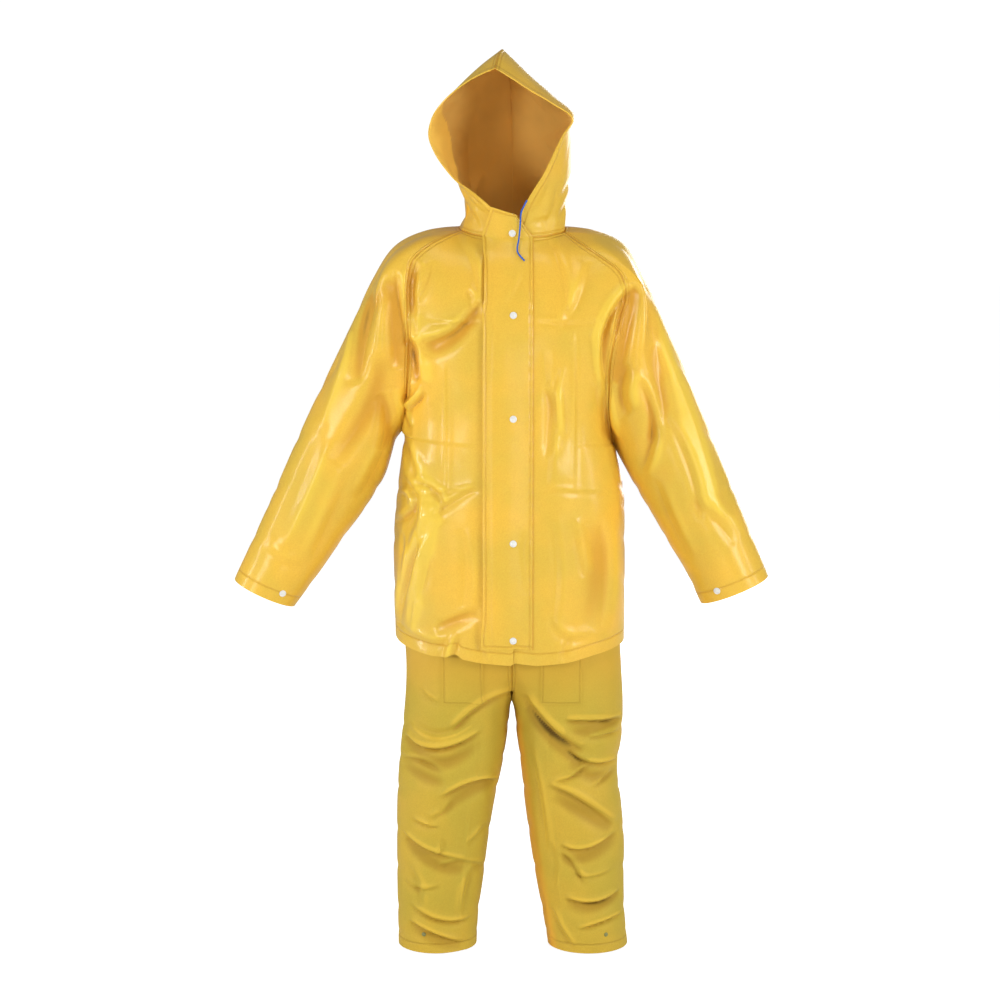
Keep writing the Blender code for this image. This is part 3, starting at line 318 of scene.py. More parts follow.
# Share of their depth that the sides' creases keep
SIDE_DEPTH = 0.30
SIDE_CREASES = millimetres(
    "from_y from_z bend_y bend_z to_y to_z width depth",
    (-85, -452, -10, -500, 65, -470, 9, 6), (-50, -518, 0, -540, 40, -532, 8, 3),
    (-60, -572, 20, -602, 88, -566, 10, 6), (-70, -662, -10, -690, 35, -676, 10, 4.5),
    (-20, -705, 30, -716, 60, -700, 8, 4), (-65, -215, -15, -300, 48, -322, 12, 6),
    (-72, -372, 0, -405, 62, -384, 10, 6), (-48, -105, -6, -172, 14, -252, 12, 5),
    (30, -150, 48, -230, 70, -290, 9, 4.5), (-84, -930, -20, -972, 74, -940, 10, 6),
    (-50, -1010, 10, -1036, 50, -1020, 8, 5), (-72, -1082, 0, -1100, 80, -1064, 9, 6),
    (-30, -1160, 20, -1188, 78, -1160, 9, 5), (-75, -1226, -10, -1262, 50, -1242, 9, 6),
    (-40, -1322, 20, -1348, 74, -1322, 9, 5), (-70, -1380, -10, -1396, 30, -1388, 7, 4),
)
HOOD_CREASES = millimetres(
    "from_y from_z bend_y bend_z to_y to_z width depth",
    (-60, 20, -30, 60, 10, 80, 10, 5), (-75, 60, -30, 100, 20, 120, 10, 4),
    (-20, 10, 20, 50, 60, 60, 10, 5), (30, 30, 60, 80, 90, 110, 10, 4),
    (-50, 150, 10, 180, 70, 160, 14, 4), (-60, 230, 0, 250, 60, 240, 14, 4),
)

# Creases of the hood's front as the photo shows them, in the same columns
HOOD_FRONT_CREASES = millimetres(
    "from_x from_z bend_x bend_z to_x to_z width depth",
    (-97, 98, -86, 64, -46, 30, 4, 4), (-61, 52, -54, 46, -46, 36, 3, 5),
    (-95, 75, -88, 45, -100, 8, 6, 4.5), (-82, 40, -70, 22, -62, 2, 5, 3),
    (40, 36, 62, 70, 72, 112, 7, 3.5), (58, 10, 78, 40, 82, 85, 8, 3),
    (30, 12, 48, 20, 70, 22, 5, 2.5),
)

# Creases of the front: x and z where each starts, bends and ends, its width and its depth
FRONT_CREASES = millimetres(
    "from_x from_z bend_x bend_z to_x to_z width depth",
    (-112, -812, -108, -790, -98, -764, 6, 6), (-128, -815, -124, -798, -120, -778, 6, -3),
    (96, -812, 100, -796, 112, -770, 7, 3), (-52, -812, -60, -780, -62, -740, 6, 4),
    (-47, -40, -52, -90, -48, -150, 5, 3), (30, -560, 24, -610, 36, -680, 8, 2.2),
    (60, -300, 74, -330, 68, -420, 8, 4), (86, -250, 78, -320, 88, -390, 7, 4),
    (112, -545, 126, -600, 138, -655, 8, 3.5), (74, -735, 98, -770, 150, -774, 8, 3.5),
    (-189, -57, -195, -128, -192, -210, 6, 4.5), (-170, -53, -178, -128, -174, -194, 8, -4.5),
    (-151, -57, -160, -94, -176, -130, 8, 4.5), (-201, -205, -186, -246, -183, -288, 13, 8),
    (-173, -288, -185, -312, -208, -335, 6, -4.5), (-167, -303, -179, -323, -200, -342, 5.5, 8),
    (-192, -200, -183, -242, -180, -284, 6, 8.5), (-204, -330, -203, -352, -196, -375, 4, 5),
    (-267, -112, -282, -197, -293, -281, 12, 7.5), (-307, -189, -329, -274, -364, -369, 14, -6),
    (-221, -72, -207, -176, -198, -214, 8, 9), (-251, -309, -237, -359, -250, -418, 16, 9),
    (-225, -371, -262, -457, -300, -515, 12, 4.5), (-348, -396, -387, -492, -436, -599, 14, -4.5),
    (-306, -454, -350, -551, -386, -631, 12, 4.5), (-482, -602, -446, -632, -399, -646, 10, 3),
    (232, -106, 179, -184, 181, -291, 9, 13.5), (181, -281, 180, -340, 192, -402, 8, 9),
    (211, -138, 202, -166, 196, -195, 6, 6), (255, -104, 266, -187, 297, -282, 12, 4.5),
    (220, -252, 206, -304, 221, -348, 14, 9), (239, -280, 267, -367, 247, -461, 9, 9),
    (272, -187, 340, -359, 403, -551, 14, -6), (297, -357, 340, -453, 360, -550, 10, 4.5),
    (341, -511, 389, -550, 429, -600, 14, 4.5), (274, -474, 305, -553, 344, -632, 10, 4.5),
    (-182, -212, -108, -189, -59, -129, 9, 7), (-87, -109, -79, -121, -79, -140, 6, 4.2),
    (-164, -169, -108, -172, -59, -168, 4, 2.1), (46, -168, 108, -172, 171, -169, 4, 2.1),
    (-222, -507, -137, -493, -59, -486, 4, 2.1), (47, -486, 129, -493, 214, -505, 4, 2.1),
    (-129, -250, -127, -373, -129, -506, 4, -2.1), (114, -183, 117, -335, 115, -486, 4, -2.1),
    (1, 31, 9, -16, 1, -60, 4, 2.1), (26, -64, 14, -99, -6, -136, 6, 2.8),
    (-108, -8, -79, -57, -68, -108, 8, 2.8), (62, -7, 90, -72, 101, -164, 8, 2.8),
    (147, -57, 127, -127, 90, -183, 10, 4.2), (146, -202, 159, -299, 177, -398, 12, 4.2),
    (58, -220, 67, -352, 62, -484, 10, 2.8), (68, -541, 83, -638, 72, -752, 10, 2.8),
    (168, -549, 181, -648, 170, -766, 12, 4.2), (-212, -397, -196, -434, -186, -473, 8, 5.6),
    (-186, -475, -149, -489, -135, -516, 6, 5.6), (-135, -503, -133, -522, -141, -537, 5, 4.2),
    (-213, -485, -180, -515, -226, -565, 7, 7), (-149, -541, -192, -637, -218, -765, 9, 8.4),
    (-157, -613, -165, -663, -181, -708, 8, 5.6), (-168, -438, -168, -585, -193, -769, 16, -7),
    (-146, -750, -107, -731, -61, -711, 5, 2.5), (-150, -563, -182, -641, -202, -709, 4.5, -3.4),
    (-173, -553, -177, -612, -196, -660, 4, -2.8), (-163, -625, -175, -680, -192, -768, 4, -2.6),
    (-207, -577, -205, -625, -211, -680, 4, -2.6), (-213, -480, -192, -524, -206, -566, 5, -3.4),
    (-145, -532, -106, -505, -65, -482, 6, 4.2), (-99, -562, -88, -638, -95, -715, 10, 2.8),
    (-209, -770, -157, -787, -119, -775, 8, 4.2), (4, -896, -54, -911, -114, -964, 7, 10.1),
    (-213, -985, -148, -1004, -58, -968, 5.4, 12.1), (-199, -957, -140, -978, -73, -945, 6.2, -6.8),
    (-217, -1032, -179, -1031, -138, -1049, 5.4, 6.8),
    (-138, -1104, -78, -1074, -29, -1083, 5.4, 10.2),
    (-196, -1150, -172, -1160, -145, -1164, 4.6, 6.8),
    (-217, -1182, -171, -1211, -92, -1233, 5.4, 10.1),
    (-141, -1251, -102, -1237, -55, -1259, 5.4, 5.1),
    (-214, -1282, -181, -1294, -141, -1286, 5.4, 5.1),
    (-204, -1362, -158, -1383, -97, -1407, 4.6, 10.2),
    (-202, -1329, -142, -1357, -83, -1360, 5.4, 9.7), (-68, -973, -70, -1020, -68, -1067, 2.7, -2),
    (-80, -1109, -86, -1160, -90, -1223, 2.7, -2), (-92, -1233, -98, -1295, -102, -1370, 2.7, -2),
    (70, -970, 69, -1024, 71, -1081, 2.7, -2), (77, -1107, 87, -1232, 104, -1378, 2.7, -2),
    (22, -895, 70, -959, 140, -1004, 8.5, 11.9), (103, -944, 156, -947, 218, -955, 6.2, 12.1),
    (150, -980, 180, -979, 214, -976, 4.6, 6.8), (107, -1004, 152, -1032, 209, -1037, 5.4, 10.1),
    (84, -1070, 117, -1059, 151, -1036, 4.6, 6.8), (161, -1083, 181, -1071, 200, -1059, 3.9, 5.1),
    (71, -1081, 129, -1105, 200, -1165, 7, 10.1), (95, -1201, 146, -1210, 211, -1180, 5.4, 10.1),
    (95, -1216, 123, -1246, 143, -1281, 5.4, 6.8), (105, -1312, 163, -1322, 216, -1306, 5.4, 11.1),
    (133, -1376, 175, -1363, 223, -1354, 4.6, 8.8), (32, -991, 56, -1111, 68, -1215, 6.2, 5.1),
    (-182, -883, -163, -899, -142, -909, 5, 5), (-161, -1148, -134, -1132, -115, -1109, 6, 5),
    (-138, -1186, -136, -1202, -144, -1222, 4, 5), (-86, -1202, -65, -1186, -52, -1168, 6, 5),
    (-94, -1348, -86, -1288, -67, -1248, 8, 6), (-205, -1248, -186, -1288, -186, -1328, 8, 5),
    (77, -1336, 96, -1376, 121, -1412, 6, 7), (125, -1256, 154, -1268, 204, -1256, 5, 5),
    (77, -1196, 86, -1236, 83, -1288, 5, 5),
)


def through(knots, values, at):
    """A smooth curve through rows of a table.

    Each span is a cubic whose slopes at its ends are those of its neighbours' chords.
    """
    knots = np.asarray(knots, float)
    values = np.asarray(values, float)
    at = np.clip(np.asarray(at, float), knots[0], knots[-1])
    slopes = np.gradient(values, knots, axis=0)
    span = np.clip(np.searchsorted(knots, at) - 1, 0, len(knots) - 2)
    length = knots[span + 1] - knots[span]
    part = (at - knots[span]) / length
    if values.ndim == 2:
        part = part[..., None]
        length = length[..., None]
    square = part * part
    cube = square * part
    return (
        (2 * cube - 3 * square + 1) * values[span]
        + (cube - 2 * square + part) * length * slopes[span]
        + (3 * square - 2 * cube) * values[span + 1]
        + (cube - square) * length * slopes[span + 1]
    )


def read(rows, column, at):
    """The column's values where the table's first column has the values `at`."""
    first = next(iter(rows.values()))
    return through(first, rows[column], at)


def route(rows, side=1):
    """The points of a table with three columns of places, mirrored for the wearer's right."""
    across, along, up = rows.values()
    return np.stack([side * across, along, up], axis=-1)


def length_places(points):
    """The fraction of a line's length at each of its points."""
    steps = np.linalg.norm(np.diff(points, axis=0), axis=1)
    return np.concatenate([[0.0], np.cumsum(steps) / np.sum(steps)])


def along_route(points, places):
    """Points at fractions of a route's length, on the smooth curve through its points."""
    return through(length_places(points), points, places)


def unit(vectors):
    """Vectors of length one."""
    return vectors / np.maximum(np.linalg.norm(vectors, axis=-1, keepdims=True), TINY)


TINY = 1e-12


def smooth(part):
    """A step from 0 to 1 with level ends."""
    part = np.clip(part, 0.0, 1.0)
    return part * part * (3 - 2 * part)


def jacket_places():
    """Places of the jacket's rows: below the armhole as heights, on it as places from the neck."""
    below = np.linspace(0.0, 1.0, ROWS_BELOW_ARMHOLE)
    armhole = np.linspace(1.0, 0.0, ROWS_OF_ARMHOLE + 1)
    return below, armhole


def raise_hem(points):
    """The front's hem lifted and dropped as it hangs.

    Each point moves up by the rise at its x, times a smooth step down from one at the hem to
    nothing at the fade's height above it.
    """
    above = (points[..., 2] - points[:1, :, 2]) / HEM_RISE_FADE
    rise = np.interp(points[..., 0], HEM_RISE["x"], HEM_RISE["rise"]) * smooth(1 - above)
    points[..., 2] += rise
    return points


def torso_rows(side_name, face):
    """The middle points, the end points and the turns of one quarter of the torso's rows.

    Below the armhole a row ends at the side seam, and above it on the armhole seam.
    """
    side = SIDES[side_name]
    seam = route(ARMHOLE[side_name, face], side)
    underarm = seam[-1]
    below, armhole = jacket_places()

    def heights_up_to(hem, top):
        return hem + (top - hem) * below

    heights = heights_up_to(HEM_HEIGHTS[side_name], underarm[2])
    reach = read(TORSO, side_name, heights[:-1])
    side_y = np.full(len(reach), underarm[1])
    side_seam = np.stack([side * reach, side_y, heights[:-1]], axis=-1)
    armhole_seam = along_route(seam, armhole)
    ends = np.concatenate([side_seam, armhole_seam])
    middle_below = heights_up_to(HEM_HEIGHTS[face], COMMON_UNDERARM)
    middle_above = COMMON_UNDERARM + (NECK_HEIGHTS[face] - COMMON_UNDERARM) * (1 - armhole)
    middle_heights = np.concatenate([middle_below[:-1], middle_above])
    depth = read(TORSO, face, middle_heights)
    sign = -1 if face == "front" else 1
    middles = np.stack([np.full_like(depth, MIDDLE_X), sign * depth, middle_heights], axis=-1)
    turns = np.concatenate([
        np.full(len(reach), math.pi / 2),
        np.radians(read(ARMHOLE_TURN, face, armhole)),
    ])
    return middles, ends, turns


def torso_quarter(side_name, face, columns):
    """A quarter of the torso: each row is a stretch of an ellipse from the middle to its end.

    `columns` gives each row's places as fractions of its turn, row by row.
    """
    middles, ends, turns = torso_rows(side_name, face)
    reach = ends - middles
    angle = columns * turns[:, None]
    across = np.sin(angle) / np.sin(turns)[:, None]
    inwards = (1 - np.cos(angle)) / (1 - np.cos(turns))[:, None]
    rise = columns * columns
    return middles[:, None] + np.stack(
        [across * reach[:, :1], inwards * reach[:, 1:2], rise * reach[:, 2:]], axis=-1
    )


def front_columns(side_name):
    """Columns of a front: first at even distances from the middle, then at even turns."""
    middles, ends, turns = torso_rows(side_name, "front")
    reach = np.abs(ends[:, 0] - middles[:, 0])
    near = np.arcsin(np.outer(np.sin(turns) / reach, FRONT_COLUMNS_FROM_MIDDLE)) / turns[:, None]
    places = np.linspace(0, 1, FRONT_COLUMNS_TO_SIDE + 1)[1:]
    far = near[:, -1:] + (1 - near[:, -1:]) * places
    return np.concatenate([near, far], axis=1)


def back_panel():
    """The back in one piece, from the wearer's right side seam to the left one."""
    rows = len(torso_rows("right", "back")[2])
    places = np.tile(np.linspace(0, 1, BACK_COLUMNS + 1), (rows, 1))
    right = torso_quarter("right", "back", places)
    left = torso_quarter("left", "back", places)
    return np.concatenate([right[:, ::-1], left[:, 1:]], axis=1)


def crest_line(side_name):
    """Points over the shoulder between the front's and the back's neck ends, by way of the crest."""
    side = SIDES[side_name]
    rows = SLEEVE[side_name]
    crest = np.array([side * rows["top_out"][0], rows["forward"][0], rows["top_height"][0]])
    front = route(ARMHOLE[side_name, "front"], side)[0]
    back = route(ARMHOLE[side_name, "back"], side)[0]
    part = np.linspace(0, 1, CREST_COLUMNS + 1)[:, None]
    return np.concatenate([(1 - part) * front + part * crest, ((1 - part) * crest + part * back)[1:]])


def sleeve_tube(side_name):
    """A sleeve: rings from the armhole to the cuff, each an ellipse between its two lines.

    The first ring is the armhole's own loop, and the difference fades out along the sleeve.
    """
    side = SIDES[side_name]
    rows = SLEEVE[side_name]
    armhole = jacket_places()[1][::-1]
    front = along_route(route(ARMHOLE[side_name, "front"], side), armhole)
    back = along_route(route(ARMHOLE[side_name, "back"], side), armhole)
    crest = crest_line(side_name)
    crest_angles = np.linspace(0, SLEEVE_TOP_ANGLE, CREST_COLUMNS + 1)
    front_angles = SLEEVE_TOP_ANGLE + (180 - SLEEVE_TOP_ANGLE) * armhole
    angles = np.radians(np.concatenate([
        crest_angles[:-1], front_angles, 360 - front_angles[-2::-1], 360 - crest_angles[-2:0:-1],
    ]))
    loop = np.concatenate([
        crest[CREST_COLUMNS:0:-1], front, back[-2::-1], crest[-2:CREST_COLUMNS:-1],
    ])
    places = np.linspace(0, 1, SLEEVE_RINGS)
    top, under = (
        np.stack([side * read(rows, line + "_out", places), read(rows, "forward", places),
                  read(rows, line + "_height", places)], axis=-1)
        for line in ("top", "under")
    )
    middle = (top + under) / 2
    half = (top - under) / 2
    depth = np.where(np.sin(angles) > 0, read(rows, "front", places)[:, None],
                     read(rows, "back", places)[:, None])
    ring = middle[:, None] + half[:, None] * np.cos(angles)[None, :, None]
    ring[..., 1] -= depth * np.sin(angles)
    fade = 1 - smooth(places / ARMHOLE_FADE)
    return ring + fade[:, None, None] * (loop - ring[0])


def hood_half(side_name, neck_edge, across):
    """Half of the hood: a patch between its opening, neck, ridge and back seams, made fuller.

    Each point is the mean of the four edges across and along, less that of the four corners.
    """
    up = np.linspace(0, 1, HOOD_ROWS)
    opening = along_route(route(HOOD_EDGE[side_name]), up)
    back = along_route(route(HOOD_BACK), up)
    ridge = along_route(route(HOOD_RIDGE), across)
    opening[0] = neck_edge[0]
    back[0] = neck_edge[-1]
    u = up[:, None, None]
    w = across[None, :, None]
    patch = (
        (1 - w) * opening[:, None] + w * back[:, None]
        + (1 - u) * neck_edge[None] + u * ridge[None]
        - (1 - u) * (1 - w) * neck_edge[0] - (1 - u) * w * neck_edge[-1]
        - u * (1 - w) * ridge[0] - u * w * ridge[-1]
    )
    sideways, upwards = HOOD_FULLNESS[side_name]
    swell_up = np.sin(math.pi * up ** HOOD_FULLEST)
    swell_across = np.sin(math.pi * across ** HOOD_FULLEST)
    bulge = swell_up[:, None] * swell_across[None]
    patch[..., 0] += sideways * bulge * (1 - up[:, None])
    patch[..., 2] += upwards * bulge
    return patch


def leg_rows():
    """Heights of the trousers' rows, from the waist to the leg hem."""
    above = np.linspace(TROUSER_TOP_HEIGHT, CROTCH_HEIGHT, TROUSER_ROWS_ABOVE_CROTCH)
    below = np.linspace(CROTCH_HEIGHT, LEG_HEM_HEIGHT, TROUSER_ROWS_BELOW_CROTCH + 1)
    return np.concatenate([above, below[1:]])


def leg_section(side_name, face, heights):
    """A leg's reach outwards and inwards, its half depth and its middle's y at each height."""
    rows = LEG[side_name]
    top_down = {name: -values if name == "height" else values for name, values in rows.items()}
    return [read(top_down, name, -heights) for name in ("outer", "inner", face, "middle")]


def leg_panel(side_name, face):
    """Front or back of a trouser leg: each row is a stretch of an ellipse.

    Below the crotch it runs from the inside leg seam to the outside one, and above it from
    the middle of the garment, where the two legs' ellipses meet. The front's columns stand
    upright above the crotch, where the pocket is, and turn evenly down the leg.
    """
    side = SIDES[side_name]
    heights = leg_rows()
    outer, inner, depth, middle = leg_section(side_name, face, heights)
    half = (outer - inner) / 2
    centre = (outer + inner) / 2
    first = np.arccos(np.clip(-centre / half, -1, 1))
    angles = first[:, None] * np.linspace(1, 0, TROUSER_COLUMNS + 1)
    if face == "front":
        upright = angles.copy()
        count = len(TROUSER_FRONT_OUTS)
        cosines = (np.array(TROUSER_FRONT_OUTS) - centre[:, None]) / half[:, None]
        upright[:, 1:count + 1] = np.arccos(np.clip(cosines, -1, 1))
        left_over = np.linspace(1, 0, TROUSER_COLUMNS - count + 1)
        upright[:, count:] = upright[:, count:count + 1] * left_over
        share = smooth((CROTCH_HEIGHT - heights) / UPRIGHT_COLUMNS_FADE)[:, None]
        angles = (1 - share) * upright + share * angles
    sign = -1 if face == "front" else 1
    return np.stack([
        side * (centre[:, None] + half[:, None] * np.cos(angles)),
        middle[:, None] + sign * depth[:, None] * np.sin(angles),
        np.repeat(heights[:, None], TROUSER_COLUMNS + 1, axis=1),
    ], axis=-1)


def pocket_patch(side_name):
    """The trouser front's surface behind the pocket: upright columns at even distances."""
    heights = np.linspace(*POCKET_HEIGHTS, POCKET_GRID[0])
    outs = np.linspace(*POCKET_OUTS, POCKET_GRID[1])
    section = leg_section(side_name, "front", heights)
    outer, inner, depth, middle = (values[:, None] for values in section)
    turned = (outs - (outer + inner) / 2) / ((outer - inner) / 2)
    return np.stack([
        np.broadcast_to(SIDES[side_name] * outs, turned.shape),
        middle - depth * np.sqrt(1 - turned ** 2),
        np.broadcast_to(heights[:, None], turned.shape),
    ], axis=-1)


def grid_normals(points, inside, around=False):
    """Unit normals of a grid, across its two directions' slopes, pointing away from `inside`."""
    if around:
        across = np.roll(points, -1, axis=1) - np.roll(points, 1, axis=1)
    else:
        across = np.gradient(points, axis=1)
    along = np.gradient(points, axis=0)
    normals = unit(np.cross(across, along))
    if np.sum(normals * (points - inside)) < 0:
        normals = -normals
    return normals


def share_normals(grids, normals):
    """Give points that lie on one seam the mean of their pieces' normals."""
    points = np.concatenate([grid.reshape(-1, 3) for grid in grids.values()])
    stacked = np.concatenate([normals[name].reshape(-1, 3) for name in grids])
    places = np.round(points * SEAM_STEPS).astype(np.int64)
    same = np.unique(places, axis=0, return_inverse=True)[1].ravel()
    total = np.zeros((same.max() + 1, 3))
    np.add.at(total, same, stacked)
    shared = unit(total)[same]
    begin = 0
    for name, grid in grids.items():
        size = grid.shape[0] * grid.shape[1]
        normals[name] = shared[begin:begin + size].reshape(grid.shape)
        begin += size


# Points on one seam are alike to a micrometre
SEAM_STEPS = 1e6


def crease_depths(points, facing, creases, plane, lip=0.0):
    """How far each point sinks under a table of creases, as seen square to a plane.

    A crease is a bent line, and its distances are counted in its widths. Its depth is e to
    the minus distance to a power: 2 for a fold and CREASE_POWER for a crease with a lip. It
    fades to nothing at both ends as the root of an arch. A minus depth is a ridge. The lip is
    a bell curve the other way up, LIP_PLACE above the line, e to the minus square of the
    distance from there over LIP_WIDTH, where the cloth pressed out of the crease stands.
    """
    place = points[..., plane].reshape(-1, 2)
    depth = np.zeros(len(place))
    steps = np.linspace(0, 1, CREASE_POINTS)[:, None]
    for row in zip(*creases.values()):
        start, bend, end = np.array(row[:6]).reshape(3, 2)
        width, crease_depth = row[6:]
        bend = 2 * bend - (start + end) / 2
        line = (1 - steps) ** 2 * start + 2 * steps * (1 - steps) * bend + steps ** 2 * end
        low = line.min(axis=0) - CREASE_MARGIN * width
        high = line.max(axis=0) + CREASE_MARGIN * width
        near = np.flatnonzero(np.all((place > low) & (place < high), axis=1))
        if not len(near):
            continue
        chord = line[1:] - line[:-1]
        offset = place[near][:, None] - line[None, :-1]
        part = np.clip(np.sum(offset * chord, axis=-1) / np.sum(chord ** 2, axis=-1), 0, 1)
        away = np.linalg.norm(offset - part[..., None] * chord, axis=-1)
        nearest = np.argmin(away, axis=1)
        chosen = np.arange(len(near))
        along = (nearest + part[chosen, nearest]) / len(chord)
        distance = away[chosen, nearest] / width
        power = CREASE_POWER if lip else FOLD_POWER
        bell = np.exp(-distance ** power) - math.exp(-CREASE_REACH ** power)
        bell = np.where(distance < CREASE_REACH, bell, 0.0)
        if lip:
            run = chord[nearest] * np.sign(end[0] - start[0] + UPRIGHT_BIAS)
            beside = offset[chosen, nearest]
            above = np.sign(run[:, 0] * beside[:, 1] - run[:, 1] * beside[:, 0])
            from_lip = (distance * above - LIP_PLACE) / LIP_WIDTH
            rise = np.exp(-from_lip ** 2) - math.exp(-CREASE_REACH ** 2)
            bell -= lip * np.where(np.abs(from_lip) < CREASE_REACH, rise, 0.0)
        depth[near] += crease_depth * bell * np.sqrt(np.clip(4 * along * (1 - along), 0, 1))
    return depth.reshape(points.shape[:2]) * facing


# Points on a crease's line, its reach in widths, how pointed its trough is, and its lip; an
# upright crease counts as one that runs towards the wearer's left
CREASE_POINTS = 11
CREASE_REACH = 3.0
CREASE_POWER = 1.2
FOLD_POWER = 2.0
UPRIGHT_BIAS = 1e-9
CREASE_MARGIN = 4.5
LIP_PLACE = 1.6
LIP_WIDTH = 1.1
LIP_SHARE = 0.75


# How fast a piece comes to face one way in full as it turns, and where its sides start
FACING_GAIN = 2.5
SIDE_START = 1.2
HOOD_SIDE_START = 0.6


def front_share(ways):
    """How far each normal faces the front: minus its y, times the gain, from 0 to 1."""
    return np.clip(-FACING_GAIN * ways[..., 1], 0, 1)


def side_share(ways, start):
    """How far each normal faces sideways: its x without sign, times the gain, less the start."""
    return np.clip(FACING_GAIN * np.abs(ways[..., 0]) - start, 0, 1)


def fold_sinks(points, ways):
    """How far the folds and creases of every side sink into a piece, at each of its points."""
    front = front_share(ways)
    back = front_share(-ways)
    outside = side_share(ways, SIDE_START)
    sink = crease_depths(points, front, FRONT_FOLDS, [0, 2])
    sink += crease_depths(points, front, FRONT_CREASES, [0, 2], LIP_SHARE)
    sink += crease_depths(points, back, BACK_FOLDS, [0, 2])
    sink += crease_depths(points, back, BACK_CREASES, [0, 2], LIP_SHARE)
    sink += SIDE_DEPTH * crease_depths(points, outside, SIDE_CREASES, [1, 2])
    return sink


def add_creases(grids, normals):
    """Sink the folds and creases of every side into the pieces."""
    for name, points in grids.items():
        grids[name] = points - fold_sinks(points, normals[name])[..., None] * normals[name]


def normals_about_axis(points, out=0.0, around=False):
    """Normals of a piece that stands round an upright axis, `out` from the middle."""
    if around:
        return grid_normals(points, points.mean(axis=1, keepdims=True), around=True)
    axis = points.mean(axis=1, keepdims=True) * np.array([0.0, 0.0, 1.0])
    return grid_normals(points, axis + np.array([out, 0.0, 0.0]))


def piece_normals(name, points):
    """The unit normals of a named piece's grid."""
    if name.startswith("hood"):
        return grid_normals(points, np.array(HOOD_INSIDE))
    if name.startswith(("trouser", "pocket")):
        return normals_about_axis(points, SIDES[name.split("_")[-1]] * LEG_AXIS_OUT)
    return normals_about_axis(points, around=name.startswith("sleeve"))


def shared_normals(grids):
    """The normals of all the pieces, alike along their seams."""
    normals = {name: piece_normals(name, points) for name, points in grids.items()}
    share_normals(grids, normals)
    return normals


def body_grids():
    """The outer faces of the jacket and the trousers below the neck, with their creases."""
    grids = {"back": back_panel()}
    for side in SIDES:
        grids["front_" + side] = raise_hem(torso_quarter(side, "front", front_columns(side)))
        grids["sleeve_" + side] = sleeve_tube(side)
        grids["pocket_" + side] = pocket_patch(side)
        for face in ("front", "back"):
            grids[f"trouser_{face}_{side}"] = leg_panel(side, face)
    add_creases(grids, shared_normals(grids))
    return grids


def add_hood_grids(grids):
    """The hood's halves, on the neck's points from the throat to the middle of the back."""
    back_row = grids["back"][-1]
    back_necks = {"right": back_row[:BACK_COLUMNS + 1], "left": back_row[BACK_COLUMNS:][::-1]}
    necks = {}
    for side in SIDES:
        sleeve_top = grids["sleeve_" + side][0]
        over = np.concatenate([sleeve_top[CREST_COLUMNS - 1::-1], sleeve_top[:-CREST_COLUMNS:-1]])
        necks[side] = np.concatenate([grids["front_" + side][-1], over, back_necks[side]])
    across = sum(length_places(neck) for neck in necks.values()) / len(necks)
    for side, neck in necks.items():
        points = hood_half(side, neck, across)
        ways = piece_normals("hood", points)
        sink = crease_depths(points, side_share(ways, HOOD_SIDE_START), HOOD_CREASES, [1, 2])
        sink += crease_depths(points, front_share(ways), HOOD_FRONT_CREASES, [0, 2], LIP_SHARE)
        up = np.linspace(0, HOOD_FADE_UP, len(points))[:, None]
        edge = smooth(np.minimum(across * HOOD_FADE_ACROSS, 1.0)) * smooth(up)
        grids["hood_" + side] = points - (sink * edge)[..., None] * ways


# How fast the hood's creases come in from its opening and from the neck: one over the share
HOOD_FADE_ACROSS = 8
HOOD_FADE_UP = 12


def tuck_left_front(grids, normals):
    """Lower the left front's middle edge below the right front, and run it on under that one."""
    front = grids["front_left"]
    ways = normals["front_left"]
    grids["left_front_top"] = front
    normals["left_front_top"] = ways
    lowered = front.copy()
    fade = np.linspace(1, 0, UNDERLAP_COLUMN + 1)[:, None]
    lowered[:, :UNDERLAP_COLUMN + 1] -= UNDERLAP * fade * ways[:, :UNDERLAP_COLUMN + 1]
    under = slice(UNDERLAP_COLUMN, 0, -1)
    tuck_ways = normals["front_right"][:, under]
    tuck = grids["front_right"][:, under] - tuck_ways * UNDERLAP
    grids["front_left"] = np.concatenate([tuck, lowered], axis=1)
    normals["front_left"] = np.concatenate([tuck_ways, ways], axis=1)


def flap_grid(grids, normals):
    """The storm flap's inner face, on both fronts' middle columns and up over the throat."""
    points, ways = (
        np.concatenate([
            parts["front_right"][FLAP_FIRST_ROW:, FLAP_COLUMNS_RIGHT - 1::-1],
            parts["left_front_top"][FLAP_FIRST_ROW:, 1:FLAP_COLUMNS_LEFT],
        ], axis=1)
        for parts in (grids, normals)
    )
    columns = points.shape[1]
    free = np.clip(1 - np.arange(columns) / FLAP_FREE_COLUMNS, 0, 1)
    lift = LAYER_GAP + CLOTH + FLAP_FREE_LIFT * smooth(free)
    points = points + ways * lift[:, None]
    share = np.linspace(0, 1, columns)[:, None]
    top = (1 - share) * np.array(FLAP_TOP_FAR) + share * np.array(FLAP_TOP_NEAR)
    rise = np.linspace(0, 1, FLAP_TOP_ROWS + 1)[1:, None, None]
    top_way = np.array([0.0, -1.0, 0.0])
    points = np.concatenate([points, (1 - rise) * points[-1] + rise * top])
    ways = np.concatenate([ways, unit((1 - rise) * ways[-1] + rise * top_way)])
    return points, ways


def suit():
    """Every cloth piece's outer grid and normals, worked out once."""
    if not SUIT:
        grids = body_grids()
        add_hood_grids(grids)
        normals = shared_normals(grids)
        tuck_left_front(grids, normals)
        grids["storm_flap"], normals["storm_flap"] = flap_grid(grids, normals)
        SUIT.update(grids=grids, normals=normals)
    return SUIT["grids"], SUIT["normals"]


SUIT = {}


